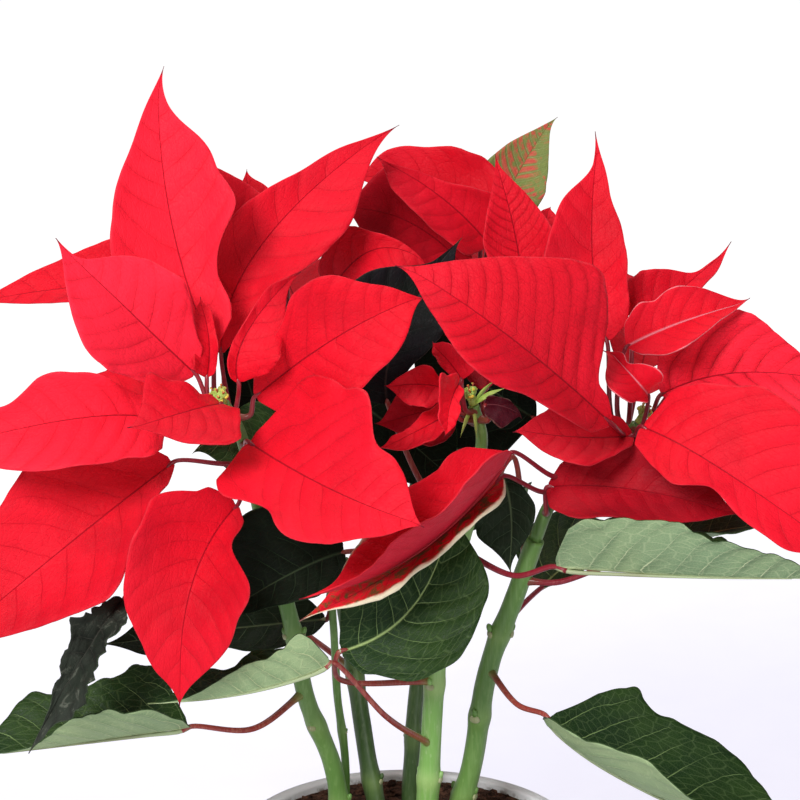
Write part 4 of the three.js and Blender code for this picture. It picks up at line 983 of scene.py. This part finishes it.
def buildBlade(name, node, blade, materials, seed, traits):
    s = bladeShape
    width, fold, face, base, mid, tip, *trims = blade
    trims = [[int(t) / 100 for t in half.split()] for half in trims] or (None, None)
    frameAt = bladeFrame(face, base, mid, tip)
    length = (Vector(tip) - Vector(base)).length
    rows, columns = s["smallGrid"] if length < s["smallLength"] else s["grid"]
    veinShare = min(1.0, 0.45 + length / 180) * traits.get("veins", 1.0)
    crumple = traits.get("crumple", 1.0)
    pleat = s["pleat"] * traits.get("pleat", 1.0)
    hook = s["hook"] * traits.get("hook", math.sin(seed * 1.7))
    # a small tone that differs from blade to blade, unless a trait paints shade or light on the
    # blade
    tone = traits.get("tone", 0.08 + 0.08 * math.sin(seed * 5.1))
    roll = s["roll"] * traits.get("roll", 1.0)
    bm = bmesh.new()
    layers = [bm.loops.layers.uv.new(layer) for layer in ("blade", "flat", "tone")]
    bmesh.ops.create_grid(bm, x_segments=rows, y_segments=columns, size=1.0)
    bm.verts.index_update()
    known, places = {}, {}
    for v in bm.verts:
        even = (v.co.x + 1) / 2
        across = -v.co.y
        if v.co.x not in known:
            along = s["start"] + s["span"] * (even - 0.05 * math.sin(math.tau * even))
            halves = [trimAt(half, along) for half in trims]
            known[v.co.x] = (along, outlineAt(along), halves, frameAt(along))
        along, share, halves, (point, _, side, up) = known[v.co.x]
        sign = 1 if across > 0 else -1
        away = abs(across)
        edgeNoise = noiseAt(along * 6, sign * 3.0, seed) + 0.5 * noiseAt(along * 19, sign, seed)
        half = width / 2 * share * halves[1 if across > 0 else 0]
        half *= 1 + s["uneven"] * crumple ** 2 * edgeNoise
        reach = away * max(half, 0.45 - 0.35 * along)
        size = min(1.0, half / s["fullWidth"])
        lift = math.radians(fold + s["cup"] * away * share)
        turn = math.tau * s["waves"] * along + s["offset"] * sign
        wave = s["ruffle"] * share * across ** 2 * math.sin(turn)
        # small uneven waves along the margin, which turns down a little
        turn = math.tau * s["marginWaves"] * along + seed + 2 * edgeNoise
        wave += s["marginWave"] * crumple * size * away ** 4 * math.sin(turn)
        wave -= roll * size * max(0.0, (away - s["rollFrom"]) / s["rollSpan"]) ** 2
        lean = veinShape["lean"] * min(1.0, along / 0.2) * (1 + veinShape["curl"] * away ** 2)
        spacing = noiseAt(along * 5, sign * 2.0, seed + 4)
        spacing = spacing * veinShape["wander"] / veinShape["count"]
        root = (along - lean * reach / length) * veinShare + spacing
        swell = math.sin(panelAt(root, across) * math.pi / 2) - 0.6
        strength = 0.9 + 1.1 * noiseAt(along * 3.5, sign * 1.7 + across, seed + 9)
        wave += pleat * strength * swell * size * min(1.0, away / 0.25) * (1 - 0.35 * away)
        wave -= s["groove"] * math.exp(-(reach / s["grooveWidth"]) ** 2) * (1 - along)
        bends = noiseAt(along * 2.6, across * 1.3, seed)
        wave += s["wander"] * crumple * size * (0.3 + 0.7 * away) * bends
        if crumple > s["tornFrom"]:
            # withered: curled up and torn along the margin
            torn = noiseAt(along * 11, sign, seed) + 0.6 * noiseAt(along * 29, sign, seed + 5)
            reach *= 1 + s["torn"] * away * torn
            wave += 2.6 * noiseAt(along * 9, across * 2.5, seed) * size
            wave += 1.2 * noiseAt(along * 22, across * 6, seed) * size
        bend = hook * max(0.0, (along - s["hookFrom"]) / s["hookSpan"]) ** 2
        sideways = side * (sign * reach * math.cos(lift) + bend)
        v.co = (point + sideways + up * (reach * math.sin(lift) + wave)) * mm
        flat = (along * length * 0.01, sign * reach * 0.01)
        places[v.index] = ((root, 0.5 + across / 2), flat, (along, tone))
    for f in bm.faces:
        for loop in f.loops:
            for layer, place in zip(layers, places[loop.vert.index]):
                loop[layer].uv = place
    piece = placePiece(bm, name, node, materials)
    skin = piece.modifiers.new("thickness", "SOLIDIFY")
    skin.thickness = s["thickness"] * mm
    skin.offset = 0.0
    skin.material_offset = 1
    skin.material_offset_rim = 0
    return frameAt


stalkShape = {
    "steps": 30, "sides": 10, "ribSteps": 26, "ribSides": 7, "ribSize": 0.72,
    "flare": 0.9, "flareReach": 4.2, "bandFrom": 3.5, "bandReach": 4.0,
}


def addStalk(bm, frameAt, joint, via, base, radius, ribShare=0.85):
    # the stalk, then the rib that it becomes under the blade
    under = []
    for along in [share * ribShare for share in (0.06, 0.3, 0.6, 0.85, 1)]:
        point, _, _, up = frameAt(along)
        sunk = 0.15 + (bladeShape["groove"] + radius * stalkShape["ribSize"]) * (1 - along)
        under.append(point - up * sunk)
    s = stalkShape
    steps = s["steps"]
    route = smoothRoute([Vector(p) * mm for p in (joint, via, base)] + [under[0] * mm], steps)
    # thicker and of the stem's colour where it leaves the stem
    radii = []
    for i, point in enumerate(route):
        away = (point - route[0]).length / mm
        flare = s["flare"] * math.exp(-(away / s["flareReach"]) ** 2)
        radii.append(radius * (1.12 - 0.3 * i / steps + flare) * mm)
    band = bm.verts.layers.float.get("nodeBand") or bm.verts.layers.float.new("nodeBand")
    known = set(bm.verts)
    addTube(bm, route, radii, s["sides"])
    for v in bm.verts:
        if v not in known:
            away = (v.co - route[0]).length / mm - s["bandFrom"]
            v[band] = math.exp(-(max(away, 0.0) / s["bandReach"]) ** 2)
    steps = s["ribSteps"]
    route = smoothRoute([Vector(base) * mm] + [p * mm for p in under], steps)
    radii = [(radius * s["ribSize"] * (1 - i / steps) + 0.12) * mm for i in range(steps + 1)]
    addTube(bm, route, radii, s["ribSides"], slot=1)


def mottledMaterial(name, first, second, roughness=0.5, scale=(1, 1, 1)):
    material, tree, shader = newMaterial(name, roughness)
    ground, fine = addMottle(tree, objectPoint(tree, scale), first, second)
    surface(tree, shader, ground, fine, 0.3, 0.0003)
    return material


ribRed = mottledMaterial("ribRed", (0.50, 0.02, 0.035), (0.36, 0.012, 0.025))
ribPale = mottledMaterial("ribPale", (0.38, 0.46, 0.26), (0.30, 0.32, 0.18))


crownShape = {
    "steps": 100, "ringEvery": 5, "sides": 16, "radius": 2.8, "narrowing": 0.6, "end": 1.2,
    # a bract's stalk leaves it so far outward, and by this share of its rise
    "stalkOut": 5.5, "stalkRise": 0.15,
}


def buildHead(name, head):
    c = crownShape
    node = "bracts_" + name
    crown = smoothRoute([Vector(p) for p in head["route"]], crownShape["steps"])
    bm = bmesh.new()
    for i, (start, *blade) in enumerate(bracts[name]):
        base = blade[3]
        joint = crown[round(start * c["steps"])]
        rise = Vector(base) - joint
        out = Vector((rise.x, rise.y, 0)).normalized() * c["stalkOut"]
        via = joint + out + rise * c["stalkRise"]
        traits = bractTraits.get((name, i), {})
        upper, under = traits.get("sides", ("bractUpper", "bractUnder"))
        seed = i * 3.7 + len(name) * 1.3
        frameAt = buildBlade(f"bract_{name}_{i:02d}", node, blade,
                             [bladeMaterials[upper], bladeMaterials[under]], seed, traits)
        addStalk(bm, frameAt, joint, via, base, bladeShape["bractRadius"])
    route = crown[::c["ringEvery"]]
    last = (route[-1] - route[-2]).normalized()
    route = [p * mm for p in route] + [(route[-1] + last * c["end"]) * mm]
    radii = [(c["radius"] - c["narrowing"] * i / (len(route) - 1)) * mm for i in range(len(route))]
    addTube(bm, route, radii, c["sides"], slot=2)
    finishPiece(bm, "stalks_" + name, node, [petioleMaroon, ribRed, stemGreen])


# What sets single bracts apart: stronger or weaker pleats, painted shade for a tone up to 1 and
# painted light below 0, the way that the tip hooks, and bracts that aren't plain red on both sides.
bractTraits = {
    ("left", 0): {"pleat": 0.5, "hook": 1.3, "tone": -0.6},
    ("left", 1): {"pleat": 0.6, "tone": -1.0},
    ("left", 4): {"pleat": 1.3, "tone": 0.12},
    ("left", 5): {"pleat": 1.0, "tone": 0.05},
    ("left", 7): {"pleat": 1.2, "tone": -0.6},
    ("left", 10): {"pleat": 0.8, "tone": 0.0},
    ("right", 0): {
        "sides": ("bractLined", "bractUnder"), "pleat": 1.7, "tone": 0.15, "veins": 1.35},
    ("right", 1): {"pleat": 0.8, "tone": 0.0},
    ("right", 2): {"sides": ("bractLined", "bractUnder"), "pleat": 1.8, "tone": -1.0},
    ("right", 3): {"sides": ("bractPaleRib", "bractUnder"), "pleat": 0.7, "tone": 0.0},
    ("right", 6): {"sides": ("bractPaleRib", "bractUnder"), "crumple": 1.4},
    ("right", 7): {"pleat": 1.3, "tone": 0.3, "crumple": 1.6},
    ("right", 8): {"pleat": 1.2, "tone": 0.75, "crumple": 1.3},
    ("right", 10): {"sides": ("bractCream", "creamUnder"), "pleat": 1.4, "tone": 0.1, "roll": 5.0},
    ("back", 0): {"tone": 0.2},
    ("back", 2): {"sides": ("bractLined", "bractUnder"), "pleat": 1.6, "tone": 0.0, "veins": 1.7},
    ("back", 3): {"sides": ("bractOlive", "bractOlive"), "pleat": 1.5, "veins": 1.9},
    ("back", 8): {"tone": 0.6},
    ("centre", 0): {"tone": 0.35, "crumple": 1.8},
    ("centre", 1): {"tone": 0.30, "crumple": 1.8},
    ("centre", 2): {"tone": 0.0, "crumple": 1.8},
    ("centre", 3): {"tone": 0.15, "crumple": 1.8},
    ("centre", 4): {"sides": ("bractDark", "bractDark"), "crumple": 1.6},
    ("centre", 5): {"tone": 0.8},
    ("centre", 6): {"tone": 0.75},
}
for name, head in crowns.items():
    buildHead(name, head)
print("bracts done")

# Leaves with painted shade for the plant's inner shade, painted light on some undersides,
# and the withered one.
leafTraits = {
    1: {"pleat": 2.2, "crumple": 1.4}, 3: {"under": "leafUnderPale", "pleat": 1.5, "tone": 0.2},
    4: {"pleat": 1.5}, 5: {"under": "leafUnderPale", "pleat": 1.5},
    6: {"under": "leafUnderPale", "pleat": 1.5},
    7: {"side": "leafWithered", "crumple": 3.0, "ribShare": 0.2},
    8: {"side": "leafShaded"}, 9: {"side": "leafDim"}, 11: {"side": "leafDim"},
    12: {"side": "leafPurple"}, 13: {"side": "leafShaded"}, 15: {"side": "leafShaded"},
    18: {"side": "leafShaded"},
}
maroonStalks = (1, 2, 16)
for number, (width, fold, face, joint, via, *line) in enumerate(leaves, 1):
    traits = leafTraits.get(number, {})
    upper = traits.get("side", "leafUpper")
    under = "leafWithered" if upper == "leafWithered" else traits.get("under", "leafUnder")
    name = f"leaf_{number:02d}"
    frameAt = buildBlade(name + "_blade", name, (width, fold, face, *line),
                         [bladeMaterials[upper], bladeMaterials[under]], number * 2.9, traits)
    bm = bmesh.new()
    addStalk(bm, frameAt, joint, via, line[0], bladeShape["leafRadius"],
             traits.get("ribShare", 0.85))
    stalk = petioleMaroon if number in maroonStalks else petioleBrown
    rib = petioleBrown if upper == "leafWithered" else ribPale
    finishPiece(bm, name + "_stalk", name, [stalk, rib])
print("leaves done")


flowerShape = {
    "profile": ((0, -1.6), (0.9, -0.6), (1.6, 1.0), (1.65, 2.4), (1.25, 3.5), (0.7, 3.3), (0, 2.9)),
    "steps": 14, "lift": 1.9, "lean": 0.5, "turn": 2.4,
    "lip": 0.95, "lipOut": 1.55, "lipRise": 2.5, "lipForm": (0.8, 1.25, 0.62, 1.0),
    "threads": 5, "threadTurn": 2.51, "threadLean": 0.28, "threadRise": 3.7, "threadLength": 1.8,
    "knob": 0.34, "knobRise": 0.95, "leafletSteps": 12, "leafletFlat": 0.35,
    "leaflets": {"centre": ((38.3, -27, 317.2), (20.3, -31, 298), (34, -22, 319), (27, -30, 297))},
}


def addCup(bm, place):
    f = flowerShape
    line = [bm.verts.new((r * mm, 0, z * mm)) for r, z in f["profile"]]
    edges = [bm.edges.new(pair) for pair in zip(line, line[1:])]
    spinOnce(bm, line + edges, f["steps"])
    cup = connected(line)
    bmesh.ops.remove_doubles(bm, verts=list(cup), dist=1e-6)
    cup = [v for v in cup if v.is_valid]
    bmesh.ops.transform(bm, matrix=place, verts=cup)
    # a fleshy yellow lip on the outer side
    lip = place @ Matrix.Translation((f["lipOut"] * mm, 0, f["lipRise"] * mm))
    lip = bmesh.ops.create_uvsphere(bm, u_segments=12, v_segments=8, radius=f["lip"] * mm,
                                    matrix=lip @ Matrix.Diagonal(f["lipForm"]))
    paint(lip["verts"], 1)
    for i in range(f["threads"]):
        lean = Matrix.Rotation(i * f["threadTurn"], 4, "Z")
        lean = lean @ Matrix.Rotation(f["threadLean"], 4, "Y")
        thread = place @ Matrix.Translation((0, 0, f["threadRise"] * mm)) @ lean
        cone = bmesh.ops.create_cone(bm, cap_ends=True, segments=5, radius1=0.2 * mm,
                                     radius2=0.14 * mm, depth=f["threadLength"] * mm, matrix=thread)
        paint(cone["verts"], 2)
        knob = thread @ Matrix.Translation((0, 0, f["knobRise"] * mm))
        knob = bmesh.ops.create_icosphere(bm, subdivisions=1, radius=f["knob"] * mm, matrix=knob)
        paint(knob["verts"], 1 if i % 2 else 2)


def addLeaflet(bm, start, end):
    # a narrow green leaflet, pointed at its end
    middle = (start + end) / 2 + Vector((0, -0.8, 1.2))
    steps = flowerShape["leafletSteps"]
    radii = []
    for i in range(steps + 1):
        t = i / steps
        radii.append((0.25 + 0.95 * math.sin(math.pi * t ** 0.8)) * (1 - 0.92 * t ** 4) * mm)
    route = smoothRoute([start * mm, middle * mm, end * mm], steps)
    addTube(bm, route, radii, 10, flatten=flowerShape["leafletFlat"])


def connected(verts):
    known, edge = set(verts), list(verts)
    while edge:
        for e in edge.pop().link_edges:
            for v in e.verts:
                if v not in known:
                    known.add(v)
                    edge.append(v)
    return known


def buildFlowers(name, head, materials):
    f = flowerShape
    crown = smoothRoute([Vector(p) for p in head["route"]], crownShape["steps"])
    axis = (crown[-1] - crown[-3]).normalized()
    foot = crown[-1] + axis * 1.8
    seat = foot + axis * 2
    upright = Vector((0, 0, 1)).rotation_difference(axis).to_matrix().to_4x4()
    bm = bmesh.new()
    route = [foot * mm, (foot + axis) * mm, (seat + axis * 2) * mm]
    addTube(bm, route, [1.7 * mm, 1.6 * mm, 1.9 * mm], 12)
    for i in range(head["cups"]):
        turn = Matrix.Rotation(i * f["turn"], 4, "Z")
        lean = Matrix.Rotation(0 if i == 0 else f["lean"], 4, "Y")
        lift = Matrix.Translation((0, 0, f["lift"] * mm))
        addCup(bm, Matrix.Translation(seat * mm) @ upright @ turn @ lean @ lift)
    for tip in f["leaflets"].get(name, ()):
        addLeaflet(bm, foot, Vector(tip))
    finishPiece(bm, "cups_" + name, "flowers_" + name, materials)


cupMaterials = [mottledMaterial(name, first, second, 0.4, (8, 8, 8)) for name, first, second in (
    ("cupGreen", (0.30, 0.46, 0.08), (0.44, 0.56, 0.12)),
    ("glandYellow", (0.75, 0.56, 0.05), (0.62, 0.62, 0.12)),
    ("threadRed", (0.45, 0.03, 0.03), (0.55, 0.20, 0.06)),
)]
for name, head in crowns.items():
    buildFlowers(name, head, cupMaterials)
print("flowers done")


stageShape = {
    "floorRadius": 9.0, "worldStrength": 0.19,
    # place, aim, size in metres, power in watts
    "lights": {
        "key": ((-0.75, -1.75, 1.55), (0, 0, 0.28), 0.7, 48),
        "fill": ((0.8, -1.8, 0.35), (0, 0, 0.2), 0.9, 7.5),
        "top": ((0.1, 0.5, 1.9), (0, 0.1, 0.3), 1.0, 12),
    },
}


def floorMaterial():
    # a lit, glowing sweep: white far behind and to the left, dimmer with a breath of lavender
    # near the pot, as painted shade
    material, tree, shader = newMaterial("floorPale", 0.9, 0.05)
    place = objectPoint(tree)
    parts = tree.nodes.new("ShaderNodeSeparateXYZ")
    tree.links.new(place, parts.inputs[0])
    far = calc(tree, "MULTIPLY_ADD", parts.outputs["X"], -0.25, parts.outputs["Y"])
    share = fade(tree, far, 0.2, 1.3)
    glow = blendColour(tree, share, (0.70, 0.68, 0.79), (0.92, 0.92, 0.92))
    tree.links.new(glow, shader.inputs["Emission Color"])
    # it glows less on the plant than the camera sees
    seen = tree.nodes.new("ShaderNodeLightPath").outputs["Is Camera Ray"]
    tree.links.new(fade(tree, seen, 0.0, 1.0, 0.60, 1.0), shader.inputs["Emission Strength"])
    grain = fade(tree, noiseOf(tree, place, 40.0, 2.0), 0.3, 0.7)
    ground = blendColour(tree, grain, (0.34, 0.34, 0.35), (0.36, 0.36, 0.37))
    tree.links.new(ground, shader.inputs["Base Color"])
    return material


def buildStage():
    bm = bmesh.new()
    bmesh.ops.create_circle(bm, cap_ends=True, segments=96, radius=stageShape["floorRadius"])
    addObject("floor", meshOf(bm, "floor", [floorMaterial()]))
    world = bpy.data.worlds.new("studio")
    bpy.context.scene.world = world
    world.use_nodes = True
    sky = world.node_tree.nodes["Background"]
    sky.inputs["Color"].default_value = (1.0, 1.0, 1.0, 1.0)
    sky.inputs["Strength"].default_value = stageShape["worldStrength"]
    for name, (place, aim, size, power) in stageShape["lights"].items():
        lamp = bpy.data.lights.new(name, "AREA")
        lamp.size = size
        lamp.energy = power
        holder = addObject(name, lamp)
        holder.location = place
        holder.rotation_euler = (Vector(aim) - Vector(place)).to_track_quat("-Z", "Y").to_euler()


cameraShape = {"lens": 146.25, "sensor": 36.0, "place": (-0.0032, -1.2557, 0.6415), "tilt": 75}


def buildCamera():
    lens = bpy.data.cameras.new("camera")
    lens.lens = cameraShape["lens"]
    lens.sensor_width = cameraShape["sensor"]
    camera = addObject("camera", lens)
    camera.location = cameraShape["place"]
    camera.rotation_euler = (math.radians(cameraShape["tilt"]), 0, 0)
    bpy.context.scene.camera = camera


buildStage()
buildCamera()
bpy.context.scene.view_settings.view_transform = "Standard"
print("stage done")
